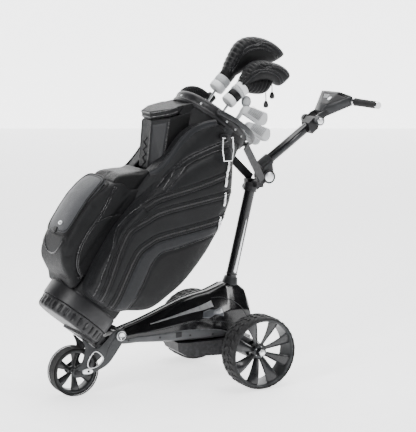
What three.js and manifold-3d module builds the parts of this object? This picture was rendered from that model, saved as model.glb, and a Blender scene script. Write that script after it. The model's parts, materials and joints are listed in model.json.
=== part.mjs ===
// Electric golf trolley with a cart bag strapped to it.
// Millimetres, +Z up. The trolley drives towards -X; its left side is -Y.
// Everything is laid out from the rear axle and then shifted so that the origin
// lies under the middle of the whole object, on the ground.
import * as THREE from "three";
import { ConvexGeometry } from "three/addons/geometries/ConvexGeometry.js";
import * as BufferGeometryUtils from "three/addons/utils/BufferGeometryUtils.js";
import Module from "manifold-3d";

const wasm = await Module();
wasm.setup();

// ---- driving dimensions ----
const GAP = 0.4; // clearance between touching pieces
const ORIGIN_SHIFT = 100; // from the rear axle to the middle of the object

const REAR_RADIUS = 135; // drive tyre
const TYRE_WIDTH = 93;
const TRACK = 491; // between the middles of the drive tyres
const TYRE_SIDES = 36;
const RIM_RADIUS = 124;
const HUB_RADIUS = 30;
const AXLE_RADIUS = 8;
const SPOKES = 8;

const FRONT_AXLE_X = -625;
const FRONT_RADIUS = 88;
const FRONT_WIDTH = 57;
const FRONT_TYRE_SIDES = 30;
const FRONT_RIM_RADIUS = 77;
const FRONT_HUB_RADIUS = 16;
const FRONT_AXLE_RADIUS = 6;
const FRONT_SPOKES = 6;

const FORK_PIVOT = [-455, 204]; // x, z of the pivot that the front fork folds about
const FORK_GAP = 68; // between the two fork plates
const FORK_PLATE = 6;
const FORK_PIN_RADIUS = 8;

const TUBE_FOOT = [21, 339]; // lower tube, where it leaves the chassis
const TUBE_HEAD = [113, 707];
const TUBE_DEPTH = 40;
const TUBE_WIDTH = 34;
const TUBE_BURIED = 50; // length of the lower tube inside the chassis
const GEARBOX_HALF = 84;
const MOTOR_RADIUS = 34;

const HINGE = [172, 734]; // axis that the handle folds about
const HINGE_RADIUS = 25;
const UPPER_FOOT = [160.5, 776];
const UPPER_HEAD = [372, 918];
const UPPER_RADIUS = 18.5;
const CLAMP = [384, 934]; // axis that the handle head tilts about

const BAG_FOOT = [-648, 262]; // middle of the bag's base
const BAG_LEAN = THREE.MathUtils.degToRad(40);
const BASE_RADIUS = 130;
const BASE_HEIGHT = 46;
const MOUTH_RADIUS = 146;
const SHELL_TOP = 884;
const SHELL_WALL = 6;
const RIM_HEIGHT = 46;

// ---- finishes ----
const finish = (color, roughness, metalness) => () =>
  new THREE.MeshStandardMaterial({ color, roughness, metalness });
const GLOSS_BLACK = finish(0x141416, 0.22, 0.1);
const SATIN_BLACK = finish(0x1b1b1d, 0.45, 0.1);
const CAST_GREY = finish(0x3a3c3f, 0.4, 0.6);
const RUBBER = finish(0x1c1c1d, 0.8, 0);
const LEATHER = finish(0x202124, 0.55, 0);
const GREY_LEATHER = finish(0x4a4c50, 0.6, 0);
const CHROME = finish(0xd8dadc, 0.15, 1);
const STEEL = finish(0xb4b7ba, 0.3, 1);

// ---- solids ----
function solidOf(geometry) {
  geometry.deleteAttribute("normal");
  geometry.deleteAttribute("uv");
  const merged = BufferGeometryUtils.mergeVertices(geometry, 1e-3);
  return new wasm.Manifold(
    new wasm.Mesh({
      numProp: 3,
      vertProperties: new Float32Array(merged.attributes.position.array),
      triVerts: new Uint32Array(merged.index.array),
    }),
  );
}

function geometryOf(solid) {
  const { vertProperties, triVerts } = solid.getMesh();
  const geometry = new THREE.BufferGeometry();
  geometry.setAttribute("position", new THREE.BufferAttribute(vertProperties, 3));
  geometry.setIndex(new THREE.BufferAttribute(triVerts, 1));
  geometry.computeVertexNormals();
  return geometry;
}

const join = (...solids) => solids.reduce((sum, next) => sum.add(next));
const cut = (solid, ...tools) => tools.reduce((rest, tool) => rest.subtract(tool), solid);

// A box between two opposite corners.
function box(low, high) {
  const size = high.map((value, i) => value - low[i]);
  const geometry = new THREE.BoxGeometry(...size);
  geometry.translate(...low.map((value, i) => value + size[i] / 2));
  return solidOf(geometry);
}

// The convex body around a list of points.
const hull = (points) => solidOf(new ConvexGeometry(points.map((p) => new THREE.Vector3(...p))));

// The corners of mirrored sections that narrow towards the top:
// [x, half width, low z, high z, half width at the top].
const mirrored = (sections) =>
  sections.flatMap(([x, half, low, high, topHalf = half]) =>
    [-1, 1].flatMap((sign) => [
      [x, sign * half, low],
      [x, sign * half, (low + high) / 2],
      [x, sign * topHalf, high],
    ]),
  );

// A round rod between two points; it may taper.
function rod(from, to, radius, endRadius = radius, sides = 20) {
  const start = new THREE.Vector3(...from);
  const along = new THREE.Vector3(...to).sub(start);
  const geometry = new THREE.CylinderGeometry(endRadius, radius, along.length(), sides);
  geometry.translate(0, along.length() / 2, 0);
  const turn = new THREE.Quaternion().setFromUnitVectors(
    new THREE.Vector3(0, 1, 0),
    along.normalize(),
  );
  geometry.applyQuaternion(turn);
  geometry.translate(start.x, start.y, start.z);
  return solidOf(geometry);
}

// A round disc on an axis along Y.
const disc = ([x, z], y0, y1, radius, sides = 24) =>
  rod([x, y0, z], [x, y1, z], radius, radius, sides);

// An outline in the XZ plane, carried from y0 to y1.
function slab(outline, y0, y1) {
  const shape = new THREE.Shape(outline.map(([x, z]) => new THREE.Vector2(x, z)));
  const geometry = new THREE.ExtrudeGeometry(shape, { depth: y1 - y0, bevelEnabled: false });
  geometry.rotateX(Math.PI / 2);
  geometry.translate(0, y1, 0);
  return solidOf(geometry);
}

// A profile of [radius, height] turned about Z, or about Y when laid on its side.
function turned(profile, sides, lying = false) {
  const points = profile.map(([radius, height]) => new THREE.Vector2(radius, height));
  const geometry = new THREE.LatheGeometry(points, sides);
  if (!lying) {
    geometry.rotateX(Math.PI / 2);
  }
  return solidOf(geometry);
}

// Points round a circle on an axis along Y, at each of the given y.
const circle = ([x, z], radius, count, across) =>
  Array.from({ length: count }, (_, i) => (2 * Math.PI * i) / count).flatMap((angle) =>
    across.map((y) => [x + radius * Math.cos(angle), y, z + radius * Math.sin(angle)]),
  );

// A round bar that follows a path.
function bent(points, radius, closed = false, steps = 24) {
  const path = new THREE.CatmullRomCurve3(points.map((p) => new THREE.Vector3(...p)), closed);
  const section = new THREE.Shape();
  section.absarc(0, 0, radius, 0, 2 * Math.PI);
  const geometry = new THREE.ExtrudeGeometry(section, {
    steps,
    curveSegments: 5,
    extrudePath: path,
  });
  return solidOf(geometry);
}

const trolley = new THREE.Group();
trolley.position.x = ORIGIN_SHIFT;
const bag = new THREE.Group();
bag.position.set(BAG_FOOT[0], 0, BAG_FOOT[1]);
bag.rotation.y = BAG_LEAN;
trolley.add(bag);

function place(parent, name, solid, material) {
  const mesh = new THREE.Mesh(geometryOf(solid), material());
  mesh.name = name;
  parent.add(mesh);
}

const SIDES = [
  ["left", -1],
  ["right", 1],
];

// A pair of y limits on one side of the middle, lower one first.
const span = (sign, inner, outer) => [sign * inner, sign * outer].sort((a, b) => a - b);

// ---- wheels ----
// A tyre is a closed ring whose tread is a polygon with one flat on the ground.
function tyre(radius, width, bore, sides) {
  const flatToCorner = 1 / Math.cos(Math.PI / sides);
  const half = width / 2;
  const shoulder = Math.min(14, half / 2);
  const inner = bore * flatToCorner + GAP;
  const ring = turned(
    [
      [inner, -half + 6],
      [radius * flatToCorner - shoulder, -half],
      [radius * flatToCorner, -half + shoulder],
      [radius * flatToCorner, half - shoulder],
      [radius * flatToCorner - shoulder, half],
      [inner, half - 6],
      [inner, -half + 6],
    ],
    sides,
    true,
  );
  return ring.rotate([0, 180 / sides, 0]);
}

// A rim is a barrel with a hub and flat blades between them.
function rim(radius, width, hubRadius, axleRadius, blades) {
  const half = width / 2 - 6;
  const barrel = turned(
    [
      [radius - 7, -half],
      [radius, -half],
      [radius, half],
      [radius - 7, half],
      [radius - 7, -half],
    ],
    32,
    true,
  );
  let wheel = join(barrel, disc([0, 0], -half * 0.55, half * 0.55, hubRadius, 20));
  for (let i = 0; i < blades; i += 1) {
    const blade = box([hubRadius - 3, -half * 0.5, -7], [radius - 4, -half * 0.5 + 16, 7]);
    wheel = wheel.add(blade.rotate([0, (i * 360) / blades, 0]));
  }
  return cut(wheel, disc([0, 0], -width, width, axleRadius, 20));
}

for (const [side, sign] of SIDES) {
  const middle = (sign * TRACK) / 2;
  const facing = sign < 0 ? 0 : 180;
  const atAxle = (solid) => solid.rotate([0, 0, facing]).translate([0, middle, REAR_RADIUS]);
  const driveTyre = tyre(REAR_RADIUS, TYRE_WIDTH, RIM_RADIUS, TYRE_SIDES);
  const driveRim = rim(RIM_RADIUS, TYRE_WIDTH, HUB_RADIUS, AXLE_RADIUS + GAP, SPOKES);
  place(trolley, `drive_tyre_${side}`, atAxle(driveTyre), RUBBER);
  place(trolley, `drive_rim_${side}`, atAxle(driveRim), SATIN_BLACK);
  const [near, far] = span(sign, 212, 276);
  place(trolley, `drive_axle_${side}`, disc([0, REAR_RADIUS], near, far, AXLE_RADIUS), STEEL);
  const [inner, outer] = span(sign, GEARBOX_HALF + GAP, 211);
  const motor = disc([0, REAR_RADIUS], inner, outer, MOTOR_RADIUS);
  place(trolley, `drive_motor_${side}`, motor, SATIN_BLACK);
}

const frontAxle = [FRONT_AXLE_X, FRONT_RADIUS];
const atFront = (solid) => solid.translate([FRONT_AXLE_X, 0, FRONT_RADIUS]);
const frontTyre = tyre(FRONT_RADIUS, FRONT_WIDTH, FRONT_RIM_RADIUS, FRONT_TYRE_SIDES);
const frontBore = FRONT_AXLE_RADIUS + GAP;
const frontRim = rim(FRONT_RIM_RADIUS, FRONT_WIDTH, FRONT_HUB_RADIUS, frontBore, FRONT_SPOKES);
place(trolley, "front_tyre", atFront(frontTyre), RUBBER);
place(trolley, "front_rim", atFront(frontRim), SATIN_BLACK);

// ---- front fork ----
const forkOutline = [
  [-478, 222],
  [-455, 229],
  [-434, 218],
  [-431, 198],
  [-458, 160],
  [-502, 107],
  [-550, 84],
  [-600, 72],
  [-630, 70],
  [-643, 82],
  [-640, 98],
  [-612, 116],
  [-600, 140],
  [-594, 177],
  [-606, 212],
  [-560, 172],
  [-538, 172],
  [-505, 200],
];
const forkWindow = [
  [-556, 158],
  [-524, 130],
  [-545, 104],
  [-578, 100],
  [-584, 122],
];
const forkInner = FORK_GAP / 2;
const forkOuter = forkInner + FORK_PLATE;
for (const [side, sign] of SIDES) {
  const [y0, y1] = span(sign, forkInner, forkOuter);
  const plate = cut(
    slab(forkOutline, y0, y1),
    slab(forkWindow, y0 - 1, y1 + 1),
    disc(FORK_PIVOT, y0 - 1, y1 + 1, FORK_PIN_RADIUS + GAP),
    disc(frontAxle, y0 - 1, y1 + 1, frontBore),
  );
  place(trolley, `fork_plate_${side}`, plate, CAST_GREY);
}

// A pin along Y with a head at each end, from inner to outer.
const pinWithHeads = (at, radius, headRadius, inner, outer) =>
  join(
    disc(at, -outer, outer, radius),
    disc(at, -outer, -inner, headRadius),
    disc(at, inner, outer, headRadius),
  );
const headInner = forkOuter + GAP;
const axlePin = pinWithHeads(frontAxle, FRONT_AXLE_RADIUS, 11, headInner, forkOuter + 8);
const pivotPin = pinWithHeads(FORK_PIVOT, FORK_PIN_RADIUS, 18, headInner, forkOuter + 9);
place(trolley, "front_axle", axlePin, STEEL);
place(trolley, "fork_pivot_pin", pivotPin, STEEL);

// ---- chassis ----
const noseHalf = forkInner - 1;
const tubeDirection = new THREE.Vector3(
  TUBE_HEAD[0] - TUBE_FOOT[0],
  0,
  TUBE_HEAD[1] - TUBE_FOOT[1],
).normalize();
const onTube = (distance) => [
  TUBE_FOOT[0] + tubeDirection.x * distance,
  0,
  TUBE_FOOT[1] + tubeDirection.z * distance,
];

// The lower tube is oval: deeper fore and aft than it is wide. This makes a length
// of it, or with room to spare the hole that it goes through.
function ovalTube(start, end, extraDepth = 0, extraWidth = extraDepth) {
  const from = onTube(start);
  const to = onTube(end);
  const along = new THREE.Vector3(...to).sub(new THREE.Vector3(...from));
  const geometry = new THREE.CylinderGeometry(0.5, 0.5, along.length(), 24);
  geometry.scale(TUBE_DEPTH + extraDepth, 1, TUBE_WIDTH + extraWidth);
  geometry.translate(0, along.length() / 2, 0);
  geometry.rotateX(Math.PI / 2);
  geometry.rotateY(Math.atan2(along.x, along.z));
  geometry.translate(...from);
  return solidOf(geometry);
}

const nose = hull(
  mirrored([
    [-472, noseHalf, 180, 210, 24],
    [-440, noseHalf, 166, 222, 16],
    [-378, noseHalf, 165, 240, 14],
  ]),
);
const beam = hull(
  mirrored([
    [-378, noseHalf, 165, 240, 14],
    [-356, 44, 164, 247, 14],
    [-190, 58, 152, 305, 14],
  ]),
);
const hump = hull(
  mirrored([
    [-190, 58, 152, 305, 14],
    [-84, 70, 150, 324, 17],
    [-11, 62, 150, 350, 22],
    [71, 52, 160, 326, 24],
    [91, 48, 200, 226, 30],
  ]),
);
const batteryLow = [-300, -38, 170];
const batteryHigh = [-110, 38, 232];
const grow = (corner, amount) => corner.map((value) => value + amount);
const batteryWell = box(
  [batteryLow[0] - GAP, batteryLow[1] - GAP, 100],
  grow(batteryHigh, GAP),
);
const chassis = cut(
  join(nose, beam, hump),
  disc(FORK_PIVOT, -60, 60, FORK_PIN_RADIUS + GAP),
  ovalTube(-TUBE_BURIED, 60, 2 * GAP),
  batteryWell,
);
place(trolley, "chassis", chassis, GLOSS_BLACK);
place(trolley, "battery_pack", box(batteryLow, batteryHigh), CAST_GREY);
const gearboxTop = 150 - GAP;
const gearbox = hull(
  mirrored([
    [-226, 52, 118, gearboxTop],
    [-196, 66, 98, gearboxTop],
    [-60, GEARBOX_HALF, 92, gearboxTop],
    [52, 80, 96, gearboxTop],
    [70, 70, 122, gearboxTop],
  ]),
);
place(trolley, "gearbox_housing", gearbox, SATIN_BLACK);

// ---- lower tube and fold hinge ----
const lowerTubeLength = Math.hypot(TUBE_HEAD[0] - TUBE_FOOT[0], TUBE_HEAD[1] - TUBE_FOOT[1]);
place(trolley, "lower_tube", ovalTube(-TUBE_BURIED + GAP, lowerTubeLength), GLOSS_BLACK);

const tubeSleeve = ovalTube(lowerTubeLength - 26, lowerTubeLength + 6, 12, 10);
const tongueHalf = 14;
const tongue = hull([
  ...[-tongueHalf, tongueHalf].flatMap((y) => [
    [118, y, 712],
    [136, y, 700],
    [134, y, 686],
  ]),
  ...circle(HINGE, 16, 12, [-tongueHalf, tongueHalf]),
]);
const pinRadius = 7;
const foldBracket = cut(
  join(tubeSleeve, tongue),
  ovalTube(lowerTubeLength - 60, lowerTubeLength + GAP, 2 * GAP),
  disc(HINGE, -30, 30, pinRadius + GAP),
);
place(trolley, "fold_bracket", foldBracket, SATIN_BLACK);

const upperDirection = new THREE.Vector3(
  UPPER_HEAD[0] - UPPER_FOOT[0],
  0,
  UPPER_HEAD[1] - UPPER_FOOT[1],
).normalize();
const onUpper = (distance) => [
  UPPER_FOOT[0] + upperDirection.x * distance,
  0,
  UPPER_FOOT[1] + upperDirection.z * distance,
];
const upperLength = Math.hypot(UPPER_HEAD[0] - UPPER_FOOT[0], UPPER_HEAD[1] - UPPER_FOOT[1]);
const cheekOuter = 27;
let socket = rod(onUpper(-14), onUpper(38), UPPER_RADIUS + 5);
for (const [, sign] of SIDES) {
  const [y0, y1] = span(sign, tongueHalf + 1, cheekOuter);
  const ring = circle(HINGE, HINGE_RADIUS, 12, [y0, y1]);
  const root = [-8, 34].flatMap((distance) =>
    [y0, Math.sign(y0) * (tongueHalf + 2)].map((y) => {
      const at = onUpper(distance);
      return [at[0], y, at[2]];
    }),
  );
  socket = socket.add(hull([...ring, ...root]));
}
socket = cut(
  socket,
  rod(onUpper(-GAP), onUpper(60), UPPER_RADIUS + GAP),
  disc(HINGE, -40, 40, pinRadius + GAP),
);
place(trolley, "upper_socket", socket, CAST_GREY);
const foldPin = pinWithHeads(HINGE, pinRadius, 21, cheekOuter + GAP, cheekOuter + 7);
place(trolley, "fold_pin", foldPin, STEEL);
place(trolley, "upper_tube", rod(onUpper(0), onUpper(upperLength), UPPER_RADIUS), GLOSS_BLACK);

// The knob that locks the fold sits on the far side of the sleeve.
const knobFoot = onTube(lowerTubeLength - 12);
const knobStart = TUBE_WIDTH / 2 + 5 + GAP + 1;
place(
  trolley,
  "fold_knob",
  rod([knobFoot[0], knobStart, knobFoot[2]], [knobFoot[0], knobStart + 16, knobFoot[2]], 13),
  SATIN_BLACK,
);

// ---- handle head ----
const clampHalf = 26;
const clampBody = cut(
  hull([
    ...[-clampHalf, clampHalf].flatMap((y) => [
      [352, y, 904],
      [366, y, 884],
      [392, y, 902],
      [398, y, 926],
      [384, y, 948],
      [372, y, 944],
      [350, y, 926],
    ]),
  ]),
  rod(onUpper(upperLength - 60), onUpper(upperLength + GAP), UPPER_RADIUS + GAP),
);
// Two ears on the head straddle the clamp.
const earInner = clampHalf + GAP;
const earOuter = earInner + 8;
const clampBore = disc(CLAMP, -60, 60, 6 + GAP);
const clampPin = disc(CLAMP, -earOuter - 3, earOuter + 3, 6);
place(trolley, "handle_clamp", join(clampBody, clampPin), SATIN_BLACK);
for (const [side, sign] of SIDES) {
  const [y0, y1] = span(sign, earOuter + 4, earOuter + 20);
  const grooves = circle(CLAMP, 20, 10, [y0]).map(([x, , z]) =>
    disc([x, z], y0 - 1, y1 + 1, 3, 10),
  );
  place(trolley, `clamp_knob_${side}`, cut(disc(CLAMP, y0, y1, 18, 30), ...grooves), CAST_GREY);
}

const boxNear = -92;
const boxFar = 84;
const headShell = hull([
  [480, boxFar, 1036],
  [487, -30, 1038],
  [502, boxNear, 1026],
  [500, boxFar, 1010],
  [514, boxNear, 994],
  [474, boxNear + 26, 998],
  [466, boxFar - 18, 1008],
  ...[-22, 22].flatMap((y) => [
    [404, y, 968],
    [426, y, 944],
  ]),
]);
let headBody = headShell;
for (const [, sign] of SIDES) {
  const [y0, y1] = span(sign, earInner, earOuter);
  const ear = hull([
    ...circle(CLAMP, 15, 8, [y0, y1]),
    ...[y0, y1].flatMap((y) => [
      [424, y * 0.6, 974],
      [434, y * 0.6, 956],
    ]),
  ]);
  headBody = headBody.add(ear);
}
const clampRoom = disc(CLAMP, -earInner, earInner, 34, 32);
const buttonAt = [455, -10, 1010];
const gripStart = [509, boxNear, 1004];
const gripEnd = [527, -226, 1001];
const gripDirection = new THREE.Vector3(...gripEnd)
  .sub(new THREE.Vector3(...gripStart))
  .normalize();
const onGrip = (distance) => [
  gripStart[0] + gripDirection.x * distance,
  gripStart[1] + gripDirection.y * distance,
  gripStart[2] + gripDirection.z * distance,
];
const buttonNormal = new THREE.Vector3(-0.66, 0, 0.75).normalize();
const onButton = (distance) => [
  buttonAt[0] + buttonNormal.x * distance,
  buttonAt[1],
  buttonAt[2] + buttonNormal.z * distance,
];
const buttonRadius = 9;
headBody = cut(
  headBody,
  clampRoom,
  clampBore,
  rod(onButton(-6), onButton(30), buttonRadius + 0.6),
  rod(onGrip(-14), onGrip(40), 10 + GAP),
);
place(trolley, "control_head", headBody, SATIN_BLACK);
place(trolley, "power_button", rod(onButton(-6 + 2.2), onButton(4), buttonRadius), CAST_GREY);
const gripLength = 136;
place(trolley, "grip_bar", rod(onGrip(-14 + GAP), onGrip(gripLength - 8 - GAP), 10), STEEL);
const dial = cut(
  rod(onGrip(3), onGrip(11), 16, 16, 28),
  rod(onGrip(-2), onGrip(20), 10 + GAP),
);
place(trolley, "speed_dial", dial, CHROME);
const sleeve = cut(
  rod(onGrip(11 + GAP), onGrip(gripLength - 8), 14.5, 14, 24),
  rod(onGrip(0), onGrip(gripLength + 8), 10 + GAP),
);
place(trolley, "grip_sleeve", sleeve, GLOSS_BLACK);
const cap = rod(onGrip(gripLength - 8 + GAP), onGrip(gripLength), 15, 13, 24);
place(trolley, "grip_cap", cap, CHROME);

// ---- bag cradles ----
const fromBag = (u, y, w) => [
  BAG_FOOT[0] + u * Math.cos(BAG_LEAN) + w * Math.sin(BAG_LEAN),
  y,
  BAG_FOOT[1] - u * Math.sin(BAG_LEAN) + w * Math.cos(BAG_LEAN),
];
const footPlate = hull(
  [30, 124].flatMap((u) =>
    [-9, -GAP].flatMap((w) => [-1, 1].map((s) => fromBag(u, s * (u > 100 ? 34 : 70), w))),
  ),
);
const heelPlate = hull(
  [BASE_RADIUS + 1, BASE_RADIUS + 9].flatMap((u) =>
    [-9, 42].flatMap((w) => [-30, 30].map((y) => fromBag(u, y, w))),
  ),
);
const heelCorner = hull(
  [118, BASE_RADIUS + 9].flatMap((u) =>
    [-9, -1].flatMap((w) => [-30, 30].map((y) => fromBag(u, y, w))),
  ),
);
const noseLink = hull([
  ...[2, 40].flatMap((w) => [-30, 30].map((y) => fromBag(BASE_RADIUS + 8, y, w))),
  ...[-30, 30].flatMap((y) => [
    [-472 - GAP, y, 184],
    [-472 - GAP, y, 212],
  ]),
]);
place(trolley, "base_cradle", join(footPlate, heelPlate, heelCorner, noseLink), SATIN_BLACK);

const cradleTip = fromBag(122, 0, 897);
const cradleFoot = [142, 0, 722];
for (const [side, sign] of SIDES) {
  const tipY = sign * 116;
  const footY = sign * 42;
  const arm = hull(
    [-4, 4].flatMap((thick) => [
      [cradleFoot[0] + 4, footY + thick, cradleFoot[2] + 14],
      [cradleFoot[0] - 14, footY + thick, cradleFoot[2] - 10],
      [cradleTip[0] + 6, tipY + thick, cradleTip[2] + 10],
      [cradleTip[0] - 10, tipY + thick, cradleTip[2] - 14],
    ]),
  );
  const [y0, y1] = span(sign, TUBE_WIDTH / 2 + 5 + GAP, 48);
  const lug = box([110, y0, 700], [138, y1, 724]);
  const knobRoom = disc([knobFoot[0], knobFoot[2]], knobStart - 6, knobStart + 18, 15);
  place(trolley, `cradle_arm_${side}`, cut(join(arm, lug), knobRoom), SATIN_BLACK);
}

// ---- bag, laid out upright in its own leaning frame ----
const baseRing = turned(
  [
    [0, 0],
    [BASE_RADIUS - 10, 0],
    [BASE_RADIUS, 12],
    [BASE_RADIUS, BASE_HEIGHT],
    [0, BASE_HEIGHT],
  ],
  32,
);
place(bag, "bag_base", baseRing, SATIN_BLACK);
const shellFoot = BASE_HEIGHT + GAP;
const shellFloor = shellFoot + 12;
const shell = turned(
  [
    [0, shellFoot],
    [BASE_RADIUS - 1, shellFoot],
    [MOUTH_RADIUS, SHELL_TOP],
    [MOUTH_RADIUS - SHELL_WALL, SHELL_TOP],
    [BASE_RADIUS - 1 - SHELL_WALL, shellFloor],
    [0, shellFloor],
  ],
  32,
);
place(bag, "bag_shell", shell, LEATHER);
const rimFoot = SHELL_TOP + GAP;
const rimTop = SHELL_TOP + RIM_HEIGHT;
const rimRing = turned(
  [
    [MOUTH_RADIUS - 8, rimFoot],
    [MOUTH_RADIUS + 4, rimFoot],
    [MOUTH_RADIUS + 6, rimTop - 8],
    [MOUTH_RADIUS, rimTop],
    [MOUTH_RADIUS - 8, rimTop],
    [MOUTH_RADIUS - 8, rimFoot],
  ],
  32,
);
place(bag, "bag_rim", rimRing, SATIN_BLACK);
const barReach = MOUTH_RADIUS - 8 - 2;
const barLow = rimTop - 26;
const barHigh = rimTop - 6;
const longBar = box([-barReach + 2, -8, barLow], [barReach - 2, -4, barHigh]);
place(bag, "divider_long", longBar, SATIN_BLACK);
place(bag, "divider_left", box([34, -barReach + 8, barLow], [38, -8 - GAP, barHigh]), SATIN_BLACK);
place(bag, "divider_right", box([34, -4 + GAP, barLow], [38, barReach - 8, barHigh]), SATIN_BLACK);

// The pockets are cut to sit on the shell, with a little room.
const shellRoom = turned(
  [
    [0, -50],
    [BASE_RADIUS, -50],
    [BASE_RADIUS, shellFoot],
    [MOUTH_RADIUS + 0.6, SHELL_TOP],
    [MOUTH_RADIUS + 0.6, SHELL_TOP + 60],
    [0, SHELL_TOP + 60],
  ],
  32,
);
const sidePocketOutline = [
  [-118, 300],
  [-122, 380],
  [-104, 535],
  [-40, 700],
  [16, 800],
  [52, 844],
  [108, 790],
  [160, 715],
  [184, 655],
  [202, 577],
  [210, 478],
  [207, 367],
  [188, 287],
  [154, 200],
  [92, 152],
  [34, 114],
  [-70, 112],
  [-104, 190],
];
for (const [side, sign] of SIDES) {
  const inset = ([u, w], amount) => [44 + (u - 44) * amount, 470 + (w - 470) * amount];
  const layers = [
    [50, 1],
    [168, 1],
    [188, 0.93],
    [197, 0.8],
  ];
  const points = layers.flatMap(([y, amount]) =>
    sidePocketOutline.map((point) => {
      const [u, w] = inset(point, amount);
      return [u, sign * y, w];
    }),
  );
  place(bag, `side_pocket_${side}`, cut(hull(points), shellRoom), LEATHER);
}

// Ball pocket: a pouch on the front with a lid that opens from its lower edge.
const ballHalf = 104;
const ballOutline = [
  [-100, 118],
  [-140, 122],
  [-206, 160],
  [-238, 226],
  [-252, 380],
  [-222, 484],
  [-186, 508],
  [-100, 508],
];
const ballLayers = [
  [ballHalf - 14, 1],
  [ballHalf, 0.9],
];
const ballBlock = hull(
  ballLayers.flatMap(([y, amount]) =>
    ballOutline.flatMap(([u, w]) =>
      [-y, y].map((across) => [-100 + (u + 100) * amount, across, 320 + (w - 320) * amount]),
    ),
  ),
);
const sideRoom = box([-123, -200, 100], [200, 200, 900]);
const ballHollow = box([-300, -72, 250], [-150, 72, 470]);
const ballPocket = cut(ballBlock, shellRoom, sideRoom, ballHollow);
place(bag, "ball_pocket", ballPocket, LEATHER);
const lidHalf = 88;
const lid = slab(
  [
    [-238 - GAP - 1, 232],
    [-252 - GAP - 1, 380],
    [-229 - GAP - 1, 474],
    [-240, 484],
    [-264, 386],
    [-250, 230],
  ],
  -lidHalf,
  lidHalf,
);
place(bag, "ball_pocket_lid", lid, GREY_LEATHER);

// Pouch for small things, a wedge between the top of the ball pocket and the shell.
const pouchOutline = [
  [-100, 509],
  [-190, 509],
  [-206, 518],
  [-176, 546],
  [-146, 573],
  [-128, 598],
  [-100, 598],
];
const pouchHalf = 94;
const pouchBlock = slab(pouchOutline, -pouchHalf, pouchHalf);
place(bag, "front_pouch", cut(pouchBlock, shellRoom, sideRoom), LEATHER);

// Cooler pocket: a stiff tall box under the rim, with a narrow front face and a wide
// slanting face at each side of it. Its lid is hinged at the back.
const coolerFace = 35; // half width of the front face
const coolerHalf = 82;
const acrossBoth = (half, points) => points.flatMap(([u, w]) => [[u, -half, w], [u, half, w]]);
const coolerBlock = hull([
  ...acrossBoth(coolerFace, [
    [-108, 607],
    [-210, 755],
  ]),
  ...acrossBoth(coolerHalf, [
    [-87, 638],
    [-178, 796.5],
    [-60, 660],
    [-100, 895],
  ]),
]);
const coolerHollow = slab(
  [
    [-150, 700],
    [-158, 700],
    [-182, 752],
    [-182, 900],
    [-150, 900],
  ],
  -44,
  44,
);
place(bag, "cooler_pocket", cut(coolerBlock, shellRoom, coolerHollow), LEATHER);
const coolerLid = hull([
  ...acrossBoth(coolerFace, [
    [-210.5, 756.5],
    [-232, 773],
  ]),
  ...acrossBoth(coolerHalf - 1, [
    [-178.5, 798],
    [-200, 815],
    [-157, 824.5],
    [-157, 868],
  ]),
]);
place(bag, "cooler_lid", coolerLid, LEATHER);

// Carry handle moulded on the rim's left rear quarter.
const handlePoints = [];
for (let i = 0; i <= 8; i += 1) {
  const angle = THREE.MathUtils.degToRad(-112 + i * 13);
  const lift = Math.sin((i * Math.PI) / 8);
  const radius = MOUTH_RADIUS + 13.5 + lift * 19;
  handlePoints.push([radius * Math.cos(angle), radius * Math.sin(angle), rimTop - 14 + lift * 14]);
}
place(bag, "rim_handle", bent(handlePoints, 6), SATIN_BLACK);

// ---- towel ring on a tab under the rim, hanging straight down ----
const ringY = -204;
const [ringX, , ringZ] = fromBag(-4, ringY, 850);
const ringTab = cut(
  box([ringX - 7, ringY - 10, ringZ - 9], [ringX + 7, -150, ringZ + 9]),
  rod([ringX - 20, ringY, ringZ], [ringX + 20, ringY, ringZ], 3.6, 3.6, 12),
);
place(trolley, "towel_ring_tab", ringTab, SATIN_BLACK);
const ringHalf = 20;
const ringDrop = 82;
const ringCorners = [
  [ringHalf, 0],
  [ringHalf + 2, -ringDrop * 0.5],
  [ringHalf - 4, -ringDrop],
  [-ringHalf + 4, -ringDrop],
  [-ringHalf - 2, -ringDrop * 0.5],
  [-ringHalf, 0],
];
const ringBars = ringCorners.map(([x, z], i) => {
  const [nextX, nextZ] = ringCorners[(i + 1) % ringCorners.length];
  return join(
    rod([x, 0, z], [nextX, 0, nextZ], 2.4, 2.4, 10),
    solidOf(new THREE.SphereGeometry(2.8, 10, 8).translate(x, 0, z)),
  );
});
place(trolley, "towel_ring", join(...ringBars).translate([ringX, ringY, ringZ]), CHROME);

// ---- clubs, standing in the bag ----
const gripFoot = shellFloor + 2;
const GRIP_LENGTH = 265;

// Grip and shaft between a foot and a top, both [u, y, w].
function clubStick(foot, top) {
  const start = new THREE.Vector3(...foot);
  const along = new THREE.Vector3(...top).sub(start).normalize();
  const after = (distance) => start.clone().addScaledVector(along, distance).toArray();
  return join(
    rod(foot, after(GRIP_LENGTH), 13, 9, 14),
    rod(after(GRIP_LENGTH - 5), top, 5, 4.5, 12),
  );
}

function coverHead(outline, y, half) {
  return hull(
    [
      [half, 0.8],
      [half * 0.6, 1],
    ].flatMap(([across, amount]) => {
      const middle = outline.reduce((sum, [u, w]) => [sum[0] + u, sum[1] + w], [0, 0]);
      const [cu, cw] = middle.map((value) => value / outline.length);
      return outline.flatMap(([u, w]) =>
        [-across, across].map((dy) => [cu + (u - cu) * amount, y + dy, cw + (w - cw) * amount]),
      );
    }),
  );
}

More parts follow.
